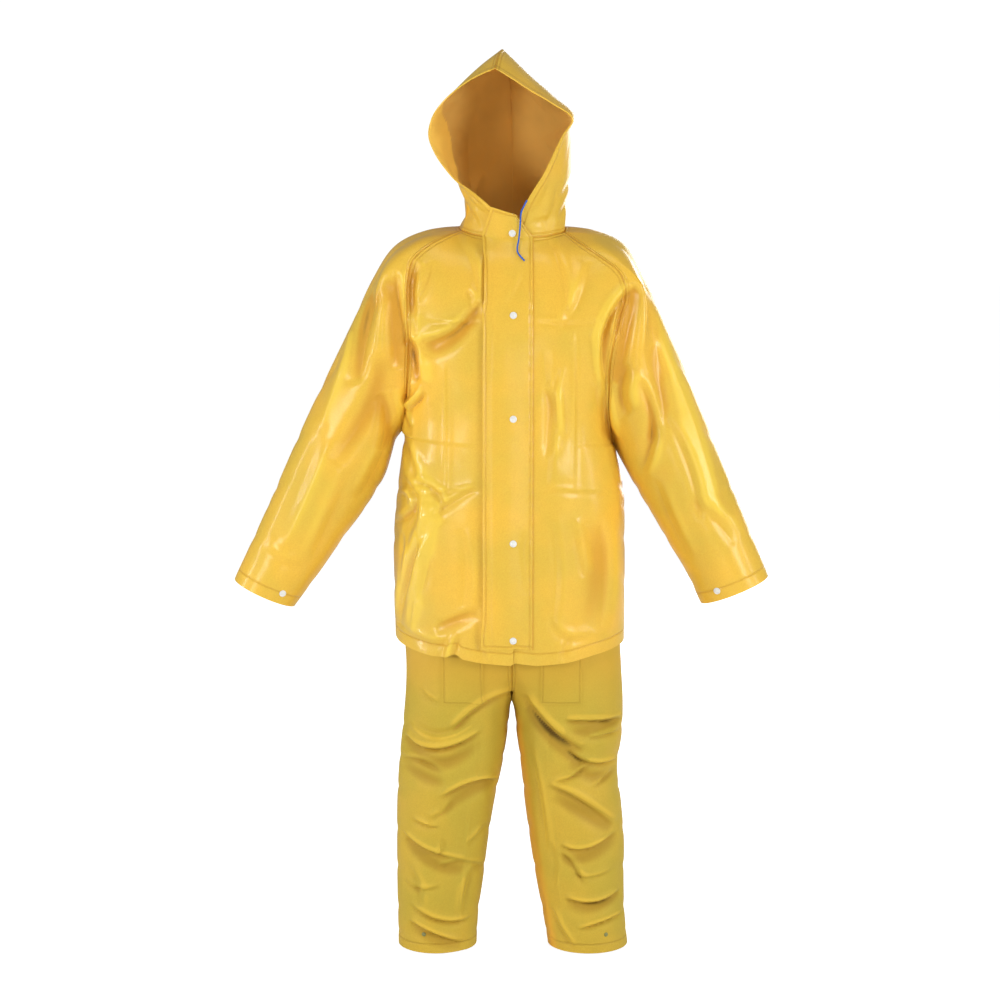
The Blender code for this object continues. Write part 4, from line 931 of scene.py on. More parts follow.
def edge_distances(points, around=False):
    """Distances over the cloth from a grid's first row, last row, first column and last column."""
    along = np.linalg.norm(np.diff(points, axis=0), axis=-1)
    down = np.concatenate([np.zeros((1, points.shape[1])), np.cumsum(along, axis=0)])
    closed = np.concatenate([points, points[:, :1]], axis=1) if around else points
    steps = np.linalg.norm(np.diff(closed, axis=1), axis=-1)
    across = np.concatenate([np.zeros((len(points), 1)), np.cumsum(steps, axis=1)], axis=1)
    total = across[:, -1:]
    across = across[:, :points.shape[1]]
    return down, down[-1:] - down, across, total - across


def grid_quads(rows, columns, around):
    """The cells of a grid as rows of four point numbers."""
    wrap = columns if around else columns - 1
    row, column = np.meshgrid(np.arange(rows - 1), np.arange(wrap), indexing="ij")
    after = (column + 1) % columns
    return np.stack([
        row * columns + column, row * columns + after,
        (row + 1) * columns + after, (row + 1) * columns + column,
    ], axis=-1).reshape(-1, 4)


def rim_pairs(rows, columns, around):
    """Pairs of neighbouring points round a grid's open edges, in one direction."""
    number = np.arange(rows * columns).reshape(rows, columns)
    if around:
        top = np.stack([np.roll(number[0], -1), number[0]], axis=-1)
        bottom = np.stack([number[-1], np.roll(number[-1], -1)], axis=-1)
        return np.concatenate([top, bottom])
    loop = np.concatenate([
        number[0, ::-1], number[1:, 0], number[-1, 1:], number[-2:0:-1, -1],
    ])
    return np.stack([loop, np.roll(loop, -1)], axis=-1)


def add_object(name, data):
    """A new object in the scene's own collection."""
    made = bpy.data.objects.new(name, data)
    bpy.context.scene.collection.objects.link(made)
    return made


def make_mesh(name, points, quads, attributes, inside_from, rim_from):
    """A smooth mesh from arrays of points and quads; the faces' second slot is the cloth's inside."""
    mesh = bpy.data.meshes.new(name)
    mesh.vertices.add(len(points))
    mesh.vertices.foreach_set("co", points.astype(np.float32).ravel())
    mesh.loops.add(quads.size)
    mesh.loops.foreach_set("vertex_index", quads.astype(np.int32).ravel())
    mesh.polygons.add(len(quads))
    mesh.polygons.foreach_set("loop_start", np.arange(0, quads.size, 4, dtype=np.int32))
    slots = np.zeros(len(quads), np.int32)
    slots[inside_from:rim_from] = 1
    mesh.polygons.foreach_set("material_index", slots)
    mesh.update(calc_edges=True)
    mesh.validate()
    for key, values in attributes.items():
        layer = mesh.attributes.new(key, "FLOAT", "POINT")
        layer.data.foreach_set("value", values.astype(np.float32).ravel())
    mesh.shade_smooth()
    mesh.set_sharp_from_angle(angle=math.radians(SHARP_ANGLE))
    return mesh


SHARP_ANGLE = 55

# Where the coating shines most: middle, half width and height, and the coat's extra share
GLOSS_SPOTS = table(
    "x z half_x half_z share",
    (-0.202, -0.620, 0.045, 0.170, 0.90),
)


def extra_gloss(points, ways):
    """Extra coat at each point, on the cloth that faces the front.

    Each spot adds its share times e to the minus sum of the squares of the distances from its
    middle over its half sizes.
    """
    x, z = points[..., 0], points[..., 2]
    gloss = np.zeros(x.shape)
    for middle_x, middle_z, half_x, half_z, share in zip(*GLOSS_SPOTS.values()):
        gloss += share * np.exp(-((x - middle_x) / half_x) ** 2 - ((z - middle_z) / half_z) ** 2)
    return gloss * front_share(ways)


def cloth_shell(name, points, ways, hem, seam, around=False, swell=None, warm_painted_shade_and_bounce=0.0,
                facing=0.0):
    """A closed sheet of cloth below an outer grid, with its edge distances as attributes."""
    rows, columns = points.shape[:2]
    first, _, begin, _ = edge_distances(points, around)
    inner = points - ways * CLOTH
    outer = points if swell is None else points + ways * swell[..., None]
    stacked = np.concatenate([outer.reshape(-1, 3), inner.reshape(-1, 3)])
    cells = grid_quads(rows, columns, around)
    pairs = rim_pairs(rows, columns, around)
    count = rows * columns
    rim = np.stack([pairs[:, 0], pairs[:, 1], pairs[:, 1] + count, pairs[:, 0] + count], axis=-1)
    quads = np.concatenate([cells, cells[:, ::-1] + count, rim])
    corner = points[0, 0]
    turn = np.cross(points[0, 1] - corner, points[1, 0] - corner)
    if np.dot(turn, ways[0, 0]) < 0:
        quads = quads[:, ::-1]
    attributes = {
        "hem_distance": hem, "seam_distance": seam, "run_across": begin, "run_along": first,
        "fold_depth": fold_sinks(points, ways), "warm_painted_shade_and_bounce": warm_painted_shade_and_bounce, "facing": facing,
        "gloss": extra_gloss(points, ways),
    }
    attributes = {key: np.tile(np.broadcast_to(values, begin.shape).reshape(-1), 2)
                  for key, values in attributes.items()}
    return add_object(name, make_mesh(name, stacked, quads, attributes, len(cells), 2 * len(cells)))


def dress(made, node, slot, *materials):
    """Give a piece its materials and its place on the body, and hide the solid it replaces; the slot
    is not used.
    """
    for material in materials:
        made.data.materials.append(material)
    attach(made, "root")
    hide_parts(node)
    return made


def feed(tree, socket, value):
    """Link an output to a socket, or set the socket's own value."""
    if isinstance(value, bpy.types.NodeSocket):
        tree.links.new(value, socket)
    else:
        socket.default_value = value


def calc(tree, operation, *values):
    """A Math node's result."""
    node = tree.nodes.new("ShaderNodeMath")
    node.operation = operation
    for socket, value in zip(node.inputs, values):
        feed(tree, socket, value)
    return node.outputs[0]


def ramp(tree, value, low, high, at_low=1.0, at_high=0.0):
    """A smooth step of a value from one result to another."""
    node = tree.nodes.new("ShaderNodeMapRange")
    node.interpolation_type = "SMOOTHSTEP"
    for label, number in (("Value", value), ("From Min", low), ("From Max", high),
                          ("To Min", at_low), ("To Max", at_high)):
        feed(tree, node.inputs[label], number)
    return node.outputs["Result"]


# Scales of the noises and waves, for each metre
SCALES = {
    "clouds": 7.0, "speckle": 420.0, "dents": 16.0, "ridges": 9.0, "ridge_places": 5.0,
    "grain": 620.0, "puckers": 26.0, "pucker_wave": 260.0, "weave": 900.0, "backing": 9.0,
    "flow_marks": 160.0, "plastic_grain": 500.0, "braid": 210.0, "paper": 40.0,
}


def stretched_place(tree, stretch):
    """The piece's own coordinates, scaled along each axis."""
    place = tree.nodes.new("ShaderNodeTexCoord").outputs["Object"]
    mapping = tree.nodes.new("ShaderNodeMapping")
    feed(tree, mapping.inputs["Vector"], place)
    mapping.inputs["Scale"].default_value = stretch
    return mapping.outputs["Vector"]


def noise(tree, scale, detail=2.0, stretch=(1.0, 1.0, 1.0), kind="FBM"):
    """A named noise over the piece's own coordinates, from 0 to 1."""
    place = stretched_place(tree, stretch)
    node = tree.nodes.new("ShaderNodeTexNoise")
    node.noise_type = kind
    feed(tree, node.inputs["Vector"], place)
    node.inputs["Scale"].default_value = SCALES[scale]
    node.inputs["Detail"].default_value = detail
    return node.outputs["Fac"]


def patches(tree, scale, detail=2.0):
    """A named noise with more contrast, so that it makes patches."""
    return ramp(tree, noise(tree, scale, detail), *PATCH_LIMITS, 0.0, 1.0)


# The noise's values where a patch starts and where it is full, for most patches and for ridges
PATCH_LIMITS = (0.3, 0.7)
RIDGE_LIMITS = (0.40, 0.62)


def times(tree, first, second):
    """The product of two numbers."""
    return calc(tree, "MULTIPLY", first, second)


def plus(tree, first, second):
    """The sum of two numbers."""
    return calc(tree, "ADD", first, second)


def opaque(colour, share=1.0):
    """A colour with every part times a share and no more than one, and full alpha."""
    return (*[min(1.0, part * share) for part in colour], 1.0)


def mix(tree, share, first, second):
    """A mix of two colours."""
    node = tree.nodes.new("ShaderNodeMix")
    node.data_type = "RGBA"
    feed(tree, node.inputs[0], share)
    feed(tree, node.inputs[6], first)
    feed(tree, node.inputs[7], second)
    return node.outputs[2]


def new_group(name, inputs, outputs):
    """An empty node group with named number sockets."""
    tree = bpy.data.node_groups.new(name, "ShaderNodeTree")
    for label, default in inputs:
        socket = tree.interface.new_socket(label, in_out="INPUT", socket_type="NodeSocketFloat")
        socket.default_value = default
    for label in outputs:
        tree.interface.new_socket(label, in_out="OUTPUT", socket_type="NodeSocketFloat")
    return tree, tree.nodes.new("NodeGroupInput"), tree.nodes.new("NodeGroupOutput")


def use_group(tree, name, maker, **values):
    """A node group's node in a material, made on first use."""
    node = tree.nodes.new("ShaderNodeGroup")
    node.node_tree = bpy.data.node_groups.get(name) or maker(name)
    for label, value in values.items():
        feed(tree, node.inputs[label.replace("_", " ")], value)
    return node.outputs


def coated_cloth_group(name):
    """Soft dents, crumpled ridges, fine grain and clouds of a coated cloth."""
    tree, given, result = new_group(
        name, [("Dent Depth", 0.0006), ("Crumple Depth", 0.0006), ("Grain Depth", 0.00006)],
        ["Clouds", "Speckle", "Height"])
    tree.links.new(patches(tree, "clouds", 3.0), result.inputs["Clouds"])
    tree.links.new(patches(tree, "speckle"), result.inputs["Speckle"])
    dents = times(tree, noise(tree, "dents", stretch=(1.0, 1.0, 0.7)), given.outputs["Dent Depth"])
    ridges = noise(tree, "ridges", stretch=(1.0, 1.0, 0.8), kind="RIDGED_MULTIFRACTAL")
    where = ramp(tree, noise(tree, "ridge_places", 1.0), *RIDGE_LIMITS, 0.0, 1.0)
    ridges = times(tree, times(tree, ridges, where), given.outputs["Crumple Depth"])
    fine = times(tree, noise(tree, "grain", 1.0), given.outputs["Grain Depth"])
    tree.links.new(plus(tree, plus(tree, dents, ridges), fine), result.inputs["Height"])
    return tree


def stitch_row_group(name):
    """A row of stitches at a distance from an edge, with the groove that they pull."""
    tree, given, result = new_group(
        name, [("Distance", 0.1), ("Run", 0.0), ("Offset", 0.02), ("Length", 0.0034)],
        ["Thread", "Groove", "Height"])
    away = calc(tree, "ABSOLUTE", calc(tree, "SUBTRACT", given.outputs["Distance"],
                                       given.outputs["Offset"]))
    dash = calc(tree, "PINGPONG", given.outputs["Run"], given.outputs["Length"])
    dash = ramp(tree, dash, *STITCH["gap"], 0.0, 1.0)
    thread = times(tree, ramp(tree, away, *STITCH["thread"]), dash)
    groove = ramp(tree, away, 0.0, STITCH["groove"])
    lift = times(tree, thread, STITCH["thread_height"])
    sink = times(tree, groove, STITCH["groove_height"])
    tree.links.new(thread, result.inputs["Thread"])
    tree.links.new(groove, result.inputs["Groove"])
    tree.links.new(plus(tree, lift, sink), result.inputs["Height"])
    return tree


# Where the gap between two stitches ends, a thread's half width, its groove's, and heights
STITCH = {"gap": (0.0006, 0.0011), "thread": (0.0003, 0.0006), "groove": 0.0030,
          "thread_height": 0.0003, "groove_height": -0.0009}


def seam_group(name):
    """The line where two pieces join, with the cloth's small puckers beside it."""
    tree, given, result = new_group(name, [("Distance", 0.1), ("Run", 0.0), ("Pucker", 0.0006)],
                                    ["Line", "Height"])
    line = ramp(tree, given.outputs["Distance"], *SEAM["line"])
    beside = ramp(tree, given.outputs["Distance"], *SEAM["puckers"])
    wave = calc(tree, "SINE", times(tree, given.outputs["Run"], SCALES["pucker_wave"]))
    wave = times(tree, wave, noise(tree, "puckers", 1.0))
    pucker = times(tree, times(tree, wave, beside), given.outputs["Pucker"])
    sink = times(tree, line, SEAM["height"])
    tree.links.new(line, result.inputs["Line"])
    tree.links.new(plus(tree, pucker, sink), result.inputs["Height"])
    return tree


# Where a seam's line and its puckers fade out beside it, and the line's height
SEAM = {"line": (0.0004, 0.0034), "puckers": (0.001, 0.020), "height": -0.0010}


def start_material(name):
    """A material with its node tree and its Principled shader."""
    made = bpy.data.materials.new(name)
    made.use_nodes = True
    return made, made.node_tree, made.node_tree.nodes["Principled BSDF"]


def attribute(tree, name):
    """A number that the mesh holds at each point."""
    node = tree.nodes.new("ShaderNodeAttribute")
    node.attribute_name = name
    return node.outputs["Fac"]


def bump(tree, shader, height):
    """Turn a height in metres into the shader's normal."""
    node = tree.nodes.new("ShaderNodeBump")
    node.inputs["Distance"].default_value = 1.0
    feed(tree, node.inputs["Height"], height)
    tree.links.new(node.outputs["Normal"], shader.inputs["Normal"])
    tree.links.new(node.outputs["Normal"], shader.inputs["Coat Normal"])


def cloth_material(name, colour, shade, smoothest, roughest, hem, dents, crumple, coat):
    """Coated cloth with clouds, dents, stitched hems and puckered seams, with painted shade in its
    grooves and folds, painted light on the lips beside its creases, and a warm painted shade and
    bounce light where its points ask for it.
    """
    found = bpy.data.materials.get(name)
    if found:
        return found
    made, tree, shader = start_material(name)
    cloth = use_group(tree, "Coated cloth", coated_cloth_group, Dent_Depth=dents,
                      Crumple_Depth=crumple)
    hem_distance = attribute(tree, "hem_distance")
    seam_distance = attribute(tree, "seam_distance")
    stitches = use_group(tree, "Stitch row", stitch_row_group, Distance=hem_distance,
                         Run=attribute(tree, "run_across"), Offset=hem)
    seam = use_group(tree, "Seam", seam_group, Distance=seam_distance,
                     Run=attribute(tree, "run_along"))
    beside = use_group(tree, "Stitch row", stitch_row_group, Distance=seam_distance,
                       Run=attribute(tree, "run_along"), Offset=SEAM_STITCH)
    cloudy = opaque([part * share for part, share in zip(colour, CLOUD_SHARES)])
    tint = mix(tree, cloth["Clouds"], opaque(colour), cloudy)
    speckle = times(tree, cloth["Speckle"], SPECKLE_SHARE)
    tint = mix(tree, speckle, tint, opaque(shade))
    # Stitched grooves darken towards the shade colour as painted shade; seam lines darken as dark
    # joints
    dark = calc(tree, "MAXIMUM", times(tree, stitches["Groove"], HEM_SHADE),
                times(tree, seam["Line"], SEAM_SHADE))
    dark = calc(tree, "MAXIMUM", dark, times(tree, beside["Groove"], STITCH_SHADE))
    tint = mix(tree, dark, tint, opaque(shade))
    # Folds and creases darken with their depth as painted shade, the deepest to a darker brown
    depth = attribute(tree, "fold_depth")
    fold = times(tree, ramp(tree, depth, *FOLD_PAINTED_SHADE_DEPTHS, 0.0, 1.0), FOLD_PAINTED_SHADE_SHARE)
    tint = mix(tree, fold, tint, opaque(shade))
    tint = mix(tree, ramp(tree, depth, *DEEP_FOLD_PAINTED_SHADE_DEPTHS, 0.0, 1.0), tint, opaque(shade, DEEP_SHADE))
    # Raised lips beside the creases lighten as painted light
    raised = times(tree, ramp(tree, depth, *LIP_PAINTED_LIGHT_DEPTHS), LIP_PAINTED_LIGHT_SHARE)
    tint = mix(tree, raised, tint, opaque(colour, LIP_PAINTED_LIGHT_GAIN))
    # Painted warm shade under the jacket's hem and painted light reflected onto the inner leg
    tint = mix(tree, attribute(tree, "warm_painted_shade_and_bounce"), tint, opaque(WARM_SHADE_AND_BOUNCE_COLOUR))
    feed(tree, shader.inputs["Base Color"], tint)
    feed(tree, shader.inputs["Roughness"],
         ramp(tree, cloth["Clouds"], 0.0, 1.0, roughest - ROUGHNESS_SPREAD, roughest))
    feed(tree, shader.inputs["Coat Weight"], plus(tree, attribute(tree, "gloss"), coat))
    shader.inputs["Coat Roughness"].default_value = smoothest
    shader.inputs["Specular IOR Level"].default_value = SPECULAR
    shader.inputs["Specular Tint"].default_value = opaque(SPECULAR_TINT)
    height = plus(tree, cloth["Height"], stitches["Height"])
    height = plus(tree, height, plus(tree, seam["Height"], beside["Height"]))
    bump(tree, shader, height)
    return made


# The stitch row beside a seam; how dark the stitched grooves are as painted shade, the seam lines as
# dark joints and the deep folds as painted shade; and the depths where folds take painted shade and
# lips painted light
SEAM_STITCH = 0.007
HEM_SHADE = 0.30
SEAM_SHADE = 0.60
STITCH_SHADE = 0.25
DEEP_SHADE = 0.25
LIP_PAINTED_LIGHT_GAIN = 1.3
FOLD_PAINTED_SHADE_DEPTHS = (0.0014, 0.0085)
FOLD_PAINTED_SHADE_SHARE = 0.60
LIP_PAINTED_LIGHT_DEPTHS = (-0.0045, -0.0006)
LIP_PAINTED_LIGHT_SHARE = 0.45
DEEP_FOLD_PAINTED_SHADE_DEPTHS = (0.0095, 0.0165)
SPECKLE_SHARE = 0.20
# Colour of the warm painted shade under the jacket's hem and of the painted bounce light on the inner
# leg
WARM_SHADE_AND_BOUNCE_COLOUR = (0.80, 0.42, 0.04)
ROUGHNESS_SPREAD = 0.12
CLOUD_SHARES = (0.83, 0.93, 0.96)
SPECULAR = 0.35
SPECULAR_TINT = (1.0, 0.86, 0.55)

# How dark the darker patches of the small materials are, and how rough those are
PATCH_SHARES = {"backing": 0.86, "plastic": 0.90, "cord": 0.55}
ROUGHNESS = {"backing": 0.85, "cord": 0.6, "floor": 0.9}
WEAVE_DEPTH = 0.00012
BRAID_DEPTH = 0.0003
PLASTIC_GRAIN_DEPTH = 0.00002


def lining_material(name, colour, facing=None):
    """The cloth's woven backing: matt, with a fine weave, and a facing of outer cloth at its edge,
    made brighter and wider as painted light.
    """
    found = bpy.data.materials.get(name)
    if found:
        return found
    made, tree, shader = start_material(name)
    weave = times(tree, noise(tree, "weave", 1.0), WEAVE_DEPTH)
    clouds = patches(tree, "backing", 3.0)
    tint = mix(tree, clouds, opaque(colour), opaque(colour, PATCH_SHARES["backing"]))
    if facing:
        tint = mix(tree, attribute(tree, "facing"), tint, opaque(facing))
    feed(tree, shader.inputs["Base Color"], tint)
    shader.inputs["Roughness"].default_value = ROUGHNESS["backing"]
    bump(tree, shader, weave)
    return made


def plastic_material(name, colour, roughness):
    """Moulded plastic with faint flow marks."""
    found = bpy.data.materials.get(name)
    if found:
        return found
    made, tree, shader = start_material(name)
    marks = patches(tree, "flow_marks")
    feed(tree, shader.inputs["Base Color"],
         mix(tree, marks, opaque(colour), opaque(colour, PATCH_SHARES["plastic"])))
    feed(tree, shader.inputs["Roughness"],
         ramp(tree, marks, 0.0, 1.0, roughness, roughness + ROUGHNESS_SPREAD))
    bump(tree, shader, times(tree, noise(tree, "plastic_grain", 1.0), PLASTIC_GRAIN_DEPTH))
    return made


def cord_material(name, colour):
    """A round braid: two sets of slanted strands that cross."""
    made, tree, shader = start_material(name)
    strands = []
    for slant in (1.0, -1.0):
        place = stretched_place(tree, (slant, 1.0, 0.7))
        wave = tree.nodes.new("ShaderNodeTexWave")
        wave.bands_direction = "DIAGONAL"
        wave.inputs["Scale"].default_value = SCALES["braid"]
        feed(tree, wave.inputs["Vector"], place)
        strands.append(wave.outputs["Fac"])
    braid = times(tree, *strands)
    feed(tree, shader.inputs["Base Color"],
         mix(tree, braid, opaque(colour, PATCH_SHARES["cord"]), opaque(colour)))
    shader.inputs["Roughness"].default_value = ROUGHNESS["cord"]
    bump(tree, shader, times(tree, braid, BRAID_DEPTH))
    return made


def turned_piece(name, profile, place, way, segments=40):
    """A turned piece: the profile's radii and heights in rings round `way` from `place`."""
    radii, heights = np.array(profile).T
    way = unit(way)
    side = unit(np.cross(way, [0.0, 0.0, 1.0]))
    other = np.cross(way, side)
    angles = np.linspace(0, 2 * math.pi, segments, endpoint=False)
    circle = np.cos(angles)[:, None] * side + np.sin(angles)[:, None] * other
    points = place + radii[:, None, None] * circle + heights[:, None, None] * way
    quads = grid_quads(len(radii), segments, True)
    return add_object(name, make_mesh(name, points.reshape(-1, 3), quads, {}, 0, 0))


def middle_of(node):
    """The middle of a CAD node's box."""
    low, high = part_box(node)
    return np.array((low + high) / 2)


def spot_on(node, cloth):
    """The point and normal of a cloth piece's outer face that is nearest to a CAD node."""
    grids, normals = suit()
    points = grids[cloth].reshape(-1, 3)
    nearest = np.argmin(np.linalg.norm(points - middle_of(node), axis=1))
    return points[nearest], normals[cloth].reshape(-1, 3)[nearest]


class SuitColours(bpy.types.PropertyGroup):
    """Colours of the suit's cloths and small parts."""

    jacket: bpy.props.FloatVectorProperty(
        name="Jacket", description="Outer face of the jacket's cloth", subtype="COLOR",
        default=(0.93, 0.56, 0.064), min=0.0, max=1.0)
    jacket_inside: bpy.props.FloatVectorProperty(
        name="Jacket inside", description="Backing of the jacket's cloth", subtype="COLOR",
        default=(0.62, 0.29, 0.05), min=0.0, max=1.0)
    hood_inside: bpy.props.FloatVectorProperty(
        name="Hood inside", description="Backing of the hood's cloth", subtype="COLOR",
        default=(0.80, 0.47, 0.10), min=0.0, max=1.0)
    # The hood's facing colour is brighter than the outer cloth: painted light where light falls
    # inside the opening
    hood_facing: bpy.props.FloatVectorProperty(
        name="Hood facing", description="Facing just inside the hood's opening", subtype="COLOR",
        default=(1.0, 0.62, 0.10), min=0.0, max=1.0)
    trousers: bpy.props.FloatVectorProperty(
        name="Trousers", description="Outer face of the trousers' cloth", subtype="COLOR",
        default=(0.68, 0.45, 0.05), min=0.0, max=1.0)
    # Seam colour: the seam lines' own dark colour and the speckle, and also the painted shade in the
    # jacket's stitched grooves, creases and deep folds
    seam: bpy.props.FloatVectorProperty(
        name="Seams", description="Seams and stitched grooves", subtype="COLOR",
        default=(0.62, 0.25, 0.015), min=0.0, max=1.0)
    # Trouser seam colour: the seam lines' own dark colour, and the painted shade in the trousers'
    # grooves, creases and deep folds
    trouser_seam: bpy.props.FloatVectorProperty(
        name="Trouser seams", description="Seams and deep creases of the trousers", subtype="COLOR",
        default=(0.40, 0.22, 0.02), min=0.0, max=1.0)
    snap: bpy.props.FloatVectorProperty(
        name="Snaps", description="Snap caps", subtype="COLOR",
        default=(0.86, 0.86, 0.83), min=0.0, max=1.0)
    stud: bpy.props.FloatVectorProperty(
        name="Studs", description="Studs above the leg hems", subtype="COLOR",
        default=(0.26, 0.27, 0.09), min=0.0, max=1.0)
    cord: bpy.props.FloatVectorProperty(
        name="Drawstring", description="Braided cord", subtype="COLOR",
        default=(0.0, 0.17, 0.88), min=0.0, max=1.0)


class SuitSizes(bpy.types.PropertyGroup):
    """Sizes of the suit's small parts."""

    snap_radius: bpy.props.FloatProperty(
        name="Snap radius", description="Radius of a snap's cap", unit="LENGTH",
        default=0.0066, min=0.003, max=0.012)
    stud_radius: bpy.props.FloatProperty(
        name="Stud radius", description="Radius of a leg stud", unit="LENGTH",
        default=0.0042, min=0.002, max=0.008)
    cord_diameter: bpy.props.FloatProperty(
        name="Cord diameter", description="Diameter of the drawstring", unit="LENGTH",
        default=0.003, min=0.001, max=0.006)
    light: bpy.props.FloatProperty(
        name="Light", description="Strength of the studio's lights", default=1.0, min=0.0, max=10.0)


def colours():
    """The scene's chosen colours."""
    return bpy.context.scene.rain_suit_colours


def sizes():
    """The scene's chosen sizes."""
    return bpy.context.scene.rain_suit_sizes


def jacket_materials():
    """The jacket's outer cloth and its backing."""
    return (
        cloth_material("coated_jacket", colours().jacket, colours().seam, smoothest=0.17,
                       roughest=0.46, hem=HEM_WIDTH, dents=0.0016, crumple=0.0045, coat=0.22),
        lining_material("jacket_backing", colours().jacket_inside),
    )


def trouser_materials():
    """The trousers' outer cloth and its backing."""
    return (
        cloth_material("coated_trousers", colours().trousers, colours().trouser_seam,
                       smoothest=0.50, roughest=0.62, hem=0.018, dents=0.0016, crumple=0.0040,
                       coat=0.0),
        lining_material("trouser_backing", colours().jacket_inside),
    )


class RAINSUIT_OT_camera(bpy.types.Operator):
    """Set the camera where the photograph was taken from"""

    bl_idname = "rainsuit.camera"
    bl_label = "Camera"

    def execute(self, context):
        camera = add_object("camera", bpy.data.cameras.new("camera"))
        camera.data.sensor_width = CAMERA["sensor"]
        camera.data.lens = CAMERA["lens"]
        camera.location = CAMERA["place"]
        camera.rotation_euler = (math.radians(CAMERA["tilt"]), 0.0, 0.0)
        context.scene.camera = camera
        return {"FINISHED"}


CAMERA = {"place": (-0.023, -4.5, 0.10), "tilt": 82.1, "lens": 83.59, "sensor": 36.0}


class RAINSUIT_OT_drawstring(bpy.types.Operator):
    """Make the drawstring's free end"""

    bl_idname = "rainsuit.drawstring"
    bl_label = "Drawstring"

    def execute(self, context):
        points = along_route(route(CORD_ROUTE), np.linspace(0, 1, CORD_POINTS))
        curve = bpy.data.curves.new("drawstring_braid", "CURVE")
        curve.dimensions = "3D"
        curve.bevel_depth = sizes().cord_diameter / 2
        curve.bevel_resolution = 6
        curve.use_fill_caps = True
        line = curve.splines.new("POLY")
        line.points.add(len(points) - 1)
        line.points.foreach_set("co", np.column_stack([points, np.ones(len(points))]).ravel())
        made = add_object("drawstring_braid", curve)
        dress(made, "drawstring", "cord", cord_material("cord_braid", colours().cord))
        return {"FINISHED"}


CORD_POINTS = 90


def cloth_piece(node, hem, seam, slot, materials, around=False, swell=None, warm_painted_shade_and_bounce=0.0,
                facing=0.0):
    """Make one node's cloth from its grid and dress it."""
    grids, normals = suit()
    made = cloth_shell(node + "_cloth", grids[node], normals[node], hem, seam, around, swell,
                       warm_painted_shade_and_bounce, facing)
    dress(made, node, slot, *materials)


class RAINSUIT_OT_jacket_body(bpy.types.Operator):
    """Make the jacket's fronts and back"""

    bl_idname = "rainsuit.jacket_body"
    bl_label = "Jacket fronts and back"

    def execute(self, context):
        for node in ("front_right", "front_left", "back"):
            first, last, begin, end = edge_distances(suit()[0][node])
            if node.startswith("front"):
                seam = np.minimum(end, last)
            else:
                seam = np.minimum(np.minimum(begin, end), last)
            cloth_piece(node, first, seam, "jacket_cloth", jacket_materials())
        return {"FINISHED"}


class RAINSUIT_OT_sleeves(bpy.types.Operator):
    """Make the raglan sleeves"""

    bl_idname = "rainsuit.sleeves"
    bl_label = "Sleeves"

    def execute(self, context):
        for side in SIDES:
            points = suit()[0]["sleeve_" + side]
            first, last, begin, _ = edge_distances(points, around=True)
            under = begin[:, CREST_COLUMNS + ROWS_OF_ARMHOLE][:, None]
            seam = np.minimum(first, np.abs(begin - under))
            cloth_piece("sleeve_" + side, last, seam, "jacket_cloth", jacket_materials(), around=True)
        return {"FINISHED"}


class RAINSUIT_OT_hood(bpy.types.Operator):
    """Make the hood's two halves, with the casing round the opening"""

    bl_idname = "rainsuit.hood"
    bl_label = "Hood"

    def execute(self, context):
        outer = jacket_materials()[0]
        for side in SIDES:
            first, last, begin, end = edge_distances(suit()[0]["hood_" + side])
            seam = np.minimum(np.minimum(first, last), end)
            casing = CASING["swell"] * smooth((CASING_WIDTH - begin) / CASING["edge"])
            casing = casing * smooth(last / CASING["end"])
            materials = (outer, lining_material("hood_backing", colours().hood_inside,
                                                colours().hood_facing))
            heights = suit()[0]["hood_" + side][..., 2]
            # The facing's band marks where light falls inside the hood's opening, as painted light
            width = np.interp(heights, HOOD_LIT_FACING["z"], HOOD_LIT_FACING["width"])
            facing = smooth((width - begin) / FACING_EDGE)
            cloth_piece("hood_" + side, begin + (HEM_WIDTH - CASING_WIDTH), seam, "jacket_cloth",
                        materials, swell=casing, facing=facing)
        return {"FINISHED"}


# Swell of the casing at the hood's opening, and over what lengths it and the facing end
CASING = {"swell": 0.0012, "edge": 0.004, "end": 0.01}
FACING_EDGE = 0.003


class RAINSUIT_OT_storm_flap(bpy.types.Operator):
    """Make the storm flap over the front closing"""

    bl_idname = "rainsuit.storm_flap"
    bl_label = "Storm flap"

    def execute(self, context):
        first, last, begin, end = edge_distances(suit()[0]["storm_flap"])
        hem = np.minimum(np.minimum(begin, last), first) + (HEM_WIDTH - FLAP_STITCH)
        cloth_piece("storm_flap", hem, end, "jacket_cloth", jacket_materials())
        return {"FINISHED"}


# How far inside the storm flap's edge its stitches run
FLAP_STITCH = 0.006


def under_hem_painted_shade(points):
    """The share of warm painted shade at each point: a smooth step up to the jacket's hem, whose
    shadow falls there.
    """
    return UNDER_HEM_SHARE * smooth((points[..., 2] - UNDER_HEM[0]) / UNDER_HEM[1])


class RAINSUIT_OT_trousers(bpy.types.Operator):
    """Make the trousers' four panels"""

    bl_idname = "rainsuit.trousers"
    bl_label = "Trousers"

    def execute(self, context):
        for face in ("front", "back"):
            for side in SIDES:
                node = f"trouser_{face}_{side}"
                points = suit()[0][node]
                _, last, begin, end = edge_distances(points)
                # Painted warm shade under the jacket's hem, and on the inner leg painted light
                # reflected from the other leg
                warm_painted_shade_and_bounce = under_hem_painted_shade(points)
                if node in PAINTED_BOUNCE_LEGS:
                    below = smooth((CROTCH_HEIGHT - points[..., 2]) / INNER_LEG_FADE)
                    warm_painted_shade_and_bounce = warm_painted_shade_and_bounce + smooth(2 * (1 - begin / INNER_LEG_WIDTH)) * below
                cloth_piece(node, last, np.minimum(begin, end), "trouser_cloth", trouser_materials(),
                            warm_painted_shade_and_bounce=warm_painted_shade_and_bounce)
        return {"FINISHED"}


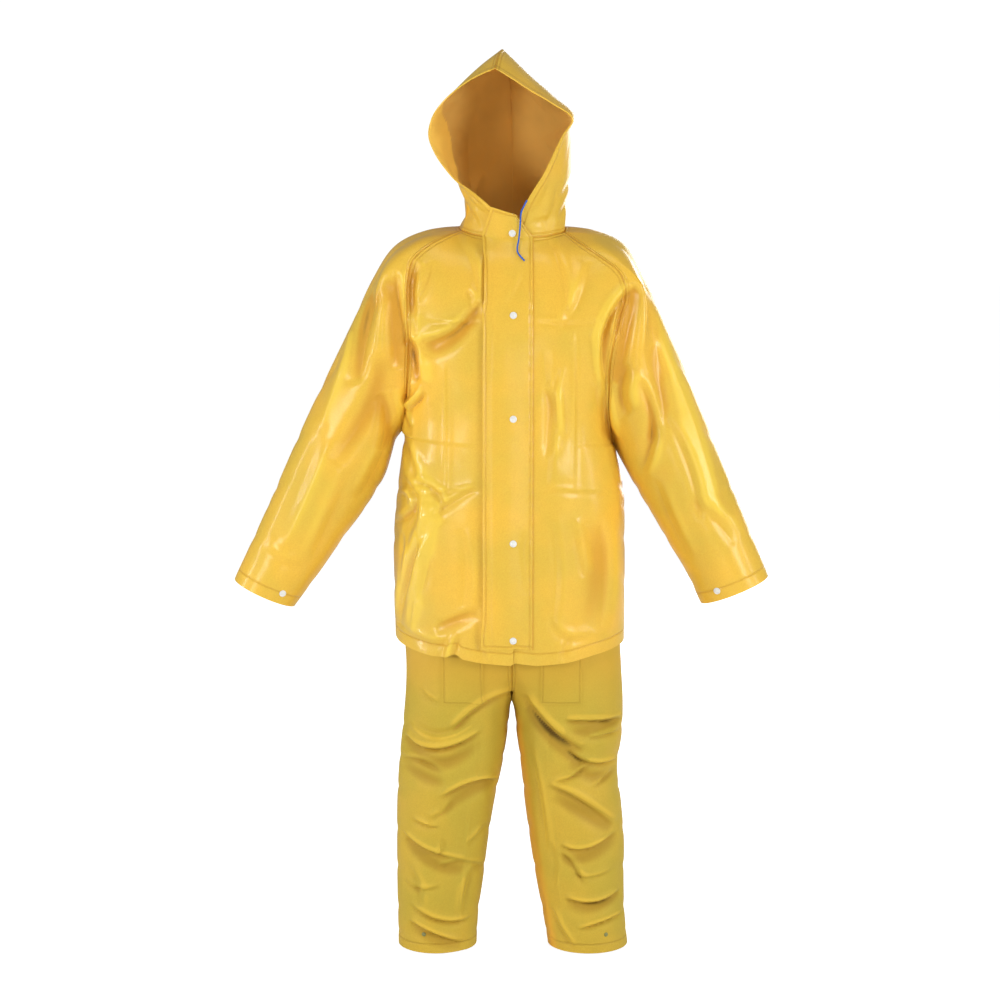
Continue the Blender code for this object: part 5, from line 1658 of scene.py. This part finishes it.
# Where the inner leg takes painted light reflected from the other leg, and how far out from the inner
# seam
PAINTED_BOUNCE_LEGS = ("trouser_front_left", "trouser_back_left")
INNER_LEG_WIDTH = 0.066
INNER_LEG_FADE = 0.05

# Share of the warm painted shade just under the jacket's hem, where it starts and the rise to it
UNDER_HEM_SHARE = 0.42
UNDER_HEM = (-0.935, 0.110)


class RAINSUIT_OT_pockets(bpy.types.Operator):
    """Make the patch pockets on the thighs"""

    bl_idname = "rainsuit.pockets"
    bl_label = "Pockets"

    def execute(self, context):
        grids, normals = suit()
        for side in SIDES:
            node = "pocket_" + side
            points = grids[node] + normals[node] * (CLOTH + LAYER_GAP)
            first, last, begin, end = edge_distances(points)
            hem = np.minimum(np.minimum(begin, end), last) + POCKET_HEM
            # The pocket takes the same painted warm shade under the jacket's hem
            made = cloth_shell(node + "_cloth", points, normals[node], hem, first + NO_SEAM,
                               warm_painted_shade_and_bounce=under_hem_painted_shade(points))
            dress(made, node, "trouser_cloth", *trouser_materials())
        return {"FINISHED"}


# What brings a pocket's stitches 5 mm inside its edge, and what keeps it clear of seam lines
POCKET_HEM = 0.013
NO_SEAM = 0.1


class RAINSUIT_OT_waistband(bpy.types.Operator):
    """Make the elastic waistband, gathered evenly all round"""

    bl_idname = "rainsuit.waistband"
    bl_label = "Waistband"

    def execute(self, context):
        grids = suit()[0]
        ring = np.concatenate([
            grids["trouser_front_right"][0, :0:-1], grids["trouser_front_left"][0, :-1],
            grids["trouser_back_left"][0, :0:-1], grids["trouser_back_right"][0, :-1],
        ])
        ways = unit(ring * np.array([1.0, 1.0, 0.0]))
        run = np.arange(len(ring))
        gathers = np.sin(run * GATHER_STEP + GATHER_SWING * np.sin(run * GATHER_DRIFT))
        gathers = GATHER_LEAST + (1 - GATHER_LEAST) * (0.5 + 0.5 * gathers)
        rise = np.linspace(0, 1, WAISTBAND_ROWS)
        swell = WAISTBAND_STAND + WAISTBAND_SWELL * np.sin(math.pi * rise)[:, None] * gathers
        points = ring + ways * swell[..., None]
        points[..., 2] += WAISTBAND_HEIGHT * rise[:, None]
        normals = np.broadcast_to(ways, points.shape)
        first, last, _, _ = edge_distances(points, around=True)
        made = cloth_shell("waistband_cloth", points, normals,
                           np.minimum(first, last) + WAISTBAND_HEM, first, around=True)
        dress(made, "waistband", "trouser_cloth", *trouser_materials())
        return {"FINISHED"}


# The waistband's height and rows, how far it and its gathers stand out, what brings its stitches
# inside its edges, the gathers' turn from one column to the next, its slow change and how far
# that swings it, and the least gather's share
WAISTBAND_HEIGHT = 0.040
WAISTBAND_ROWS = 18
WAISTBAND_STAND = 0.0016
WAISTBAND_SWELL = 0.0042
WAISTBAND_HEM = 0.012
GATHER_STEP = 1.05
GATHER_DRIFT = 0.21
GATHER_SWING = 0.9
GATHER_LEAST = 0.35

# Profiles of the fasteners, as radius and height in shares of the cap's radius
SNAP_PROFILE = (
    (0.001, 0.0), (0.93, 0.0), (1.0, 0.06), (1.02, 0.14), (1.0, 0.22), (0.93, 0.30),
    (0.84, 0.34), (0.76, 0.33), (0.70, 0.28), (0.66, 0.27), (0.60, 0.30), (0.45, 0.36),
    (0.28, 0.39), (0.12, 0.40), (0.001, 0.40),
)
STUD_PROFILE = (
    (0.001, 0.0), (0.96, 0.0), (1.0, 0.10), (0.94, 0.24), (0.78, 0.36), (0.52, 0.46),
    (0.25, 0.51), (0.001, 0.52),
)
CAP_LIFT = 0.0003


def add_fastener(node, cloth, slot, profile, radius, material):
    """Stand a turned cap on the cloth where the CAD has it."""
    place, way = spot_on(node, cloth)
    profile = [(radius * out, radius * up) for out, up in profile]
    made = turned_piece(node + "_cap", profile, place + way * CAP_LIFT, way)
    dress(made, node, slot, material)


class RAINSUIT_OT_snaps(bpy.types.Operator):
    """Make the snaps on the storm flap and the cuffs"""

    bl_idname = "rainsuit.snaps"
    bl_label = "Snaps"

    def execute(self, context):
        white = plastic_material("snap_plastic", colours().snap, 0.25)
        nodes = {f"front_snap_{number}": "storm_flap" for number in range(1, 6)}
        nodes.update({"cuff_snap_" + side: "sleeve_" + side for side in SIDES})
        for node, cloth in nodes.items():
            add_fastener(node, cloth, "snap", SNAP_PROFILE, sizes().snap_radius, white)
        return {"FINISHED"}


class RAINSUIT_OT_studs(bpy.types.Operator):
    """Make the small studs above the leg hems"""

    bl_idname = "rainsuit.studs"
    bl_label = "Leg studs"

    def execute(self, context):
        olive = plastic_material("stud_plastic", colours().stud, 0.45)
        for side in SIDES:
            add_fastener("ankle_stud_" + side, "trouser_front_" + side, "stud", STUD_PROFILE,
                         sizes().stud_radius, olive)
        return {"FINISHED"}


# Softboxes: place, width and height, and power
LIGHTS = {
    "key": ((-2.6, -2.9, 0.0), (1.0, 1.0), 45.0),
    "fill": ((2.9, -2.5, 0.0), (0.9, 0.9), 46.0),
    "front": ((0.6, -5.4, -0.6), (1.4, 1.4), 25.5),
    "side": ((-3.3, -0.8, -0.2), (0.12, 1.7), 28.0),
    "other_side": ((3.3, -1.0, 0.1), (0.3, 1.7), 18.0),
    "back": ((1.6, 4.0, 0.1), (2.2, 2.2), 60.0),
    "top": ((0.3, -1.6, 2.2), (1.4, 0.9), 13.0),
}
FLOOR_HEIGHT = -1.4245
FLOOR_HALF = 30.0
PAPER_SHADES = (0.90, 0.88)
# The floor's own glow in the camera's sight, and the surroundings' strength beyond and in it
FLOOR_GLOW = 0.80
WORLD_STRENGTHS = (0.25, 1.05)
LIGHT_AIM = (0.0, 0.0, -0.5)


class RAINSUIT_OT_stage(bpy.types.Operator):
    """Make the pale floor, the white surroundings and the softboxes"""

    bl_idname = "rainsuit.stage"
    bl_label = "Stage"

    def execute(self, context):
        corners = [(-1, -1), (1, -1), (1, 1), (-1, 1)]
        mesh = bpy.data.meshes.new("floor")
        mesh.from_pydata([(x * FLOOR_HALF, y * FLOOR_HALF, FLOOR_HEIGHT) for x, y in corners],
                         [], [(0, 1, 2, 3)])
        floor = add_object("floor", mesh)
        material, tree, shader = start_material("floor_paper")
        feed(tree, shader.inputs["Base Color"],
             mix(tree, patches(tree, "paper"), *[opaque([shade] * 3) for shade in PAPER_SHADES]))
        shader.inputs["Roughness"].default_value = ROUGHNESS["floor"]
        shader.inputs["Emission Color"].default_value = (1.0, 1.0, 1.0, 1.0)
        sight = tree.nodes.new("ShaderNodeLightPath").outputs["Is Camera Ray"]
        feed(tree, shader.inputs["Emission Strength"], ramp(tree, sight, 0.0, 1.0, 0.0, FLOOR_GLOW))
        mesh.materials.append(material)
        world = bpy.data.worlds.new("studio")
        context.scene.world = world
        world.use_nodes = True
        nodes = world.node_tree.nodes
        background = nodes["Background"]
        background.inputs["Color"].default_value = (1.0, 1.0, 1.0, 1.0)
        sight = nodes.new("ShaderNodeLightPath").outputs["Is Camera Ray"]
        feed(world.node_tree, background.inputs["Strength"],
             ramp(world.node_tree, sight, 0.0, 1.0, *WORLD_STRENGTHS))
        for name, (place, (width, height), power) in LIGHTS.items():
            lamp = bpy.data.lights.new(name, "AREA")
            lamp.shape = "RECTANGLE"
            lamp.size = width
            lamp.size_y = height
            lamp.energy = power * sizes().light
            light = add_object(name, lamp)
            light.location = place
            way = mathutils.Vector(LIGHT_AIM) - mathutils.Vector(place)
            light.rotation_euler = way.to_track_quat("-Z", "Y").to_euler()
        context.scene.view_settings.view_transform = "Standard"
        return {"FINISHED"}


OPERATORS = (
    RAINSUIT_OT_camera, RAINSUIT_OT_drawstring, RAINSUIT_OT_jacket_body, RAINSUIT_OT_sleeves,
    RAINSUIT_OT_hood, RAINSUIT_OT_storm_flap, RAINSUIT_OT_trousers, RAINSUIT_OT_pockets,
    RAINSUIT_OT_waistband, RAINSUIT_OT_snaps, RAINSUIT_OT_studs, RAINSUIT_OT_stage,
)


class RAINSUIT_PT_panel(bpy.types.Panel):
    """Sizes, colours and pieces of the rain suit"""

    bl_label = "Rain suit"
    bl_idname = "RAINSUIT_PT_panel"
    bl_space_type = "VIEW_3D"
    bl_region_type = "UI"
    bl_category = "Rain suit"

    def draw(self, context):
        layout = self.layout
        for group in (context.scene.rain_suit_colours, context.scene.rain_suit_sizes):
            for key in group.bl_rna.properties.keys():
                if key not in ("rna_type", "name"):
                    layout.prop(group, key)
        for operator in OPERATORS:
            layout.operator(operator.bl_idname)


CLASSES = (SuitColours, SuitSizes, *OPERATORS, RAINSUIT_PT_panel)


def register():
    """Add the classes and the scene's settings."""
    for item in CLASSES:
        bpy.utils.register_class(item)
    bpy.types.Scene.rain_suit_colours = bpy.props.PointerProperty(type=SuitColours)
    bpy.types.Scene.rain_suit_sizes = bpy.props.PointerProperty(type=SuitSizes)


def unregister():
    """Take the settings and the classes away."""
    del bpy.types.Scene.rain_suit_sizes
    del bpy.types.Scene.rain_suit_colours
    for item in reversed(CLASSES):
        bpy.utils.unregister_class(item)


def main():
    """Build the whole scene."""
    register()
    for operator in OPERATORS:
        getattr(bpy.ops.rainsuit, operator.bl_idname.split(".")[1])()


if __name__ == "__main__":
    main()
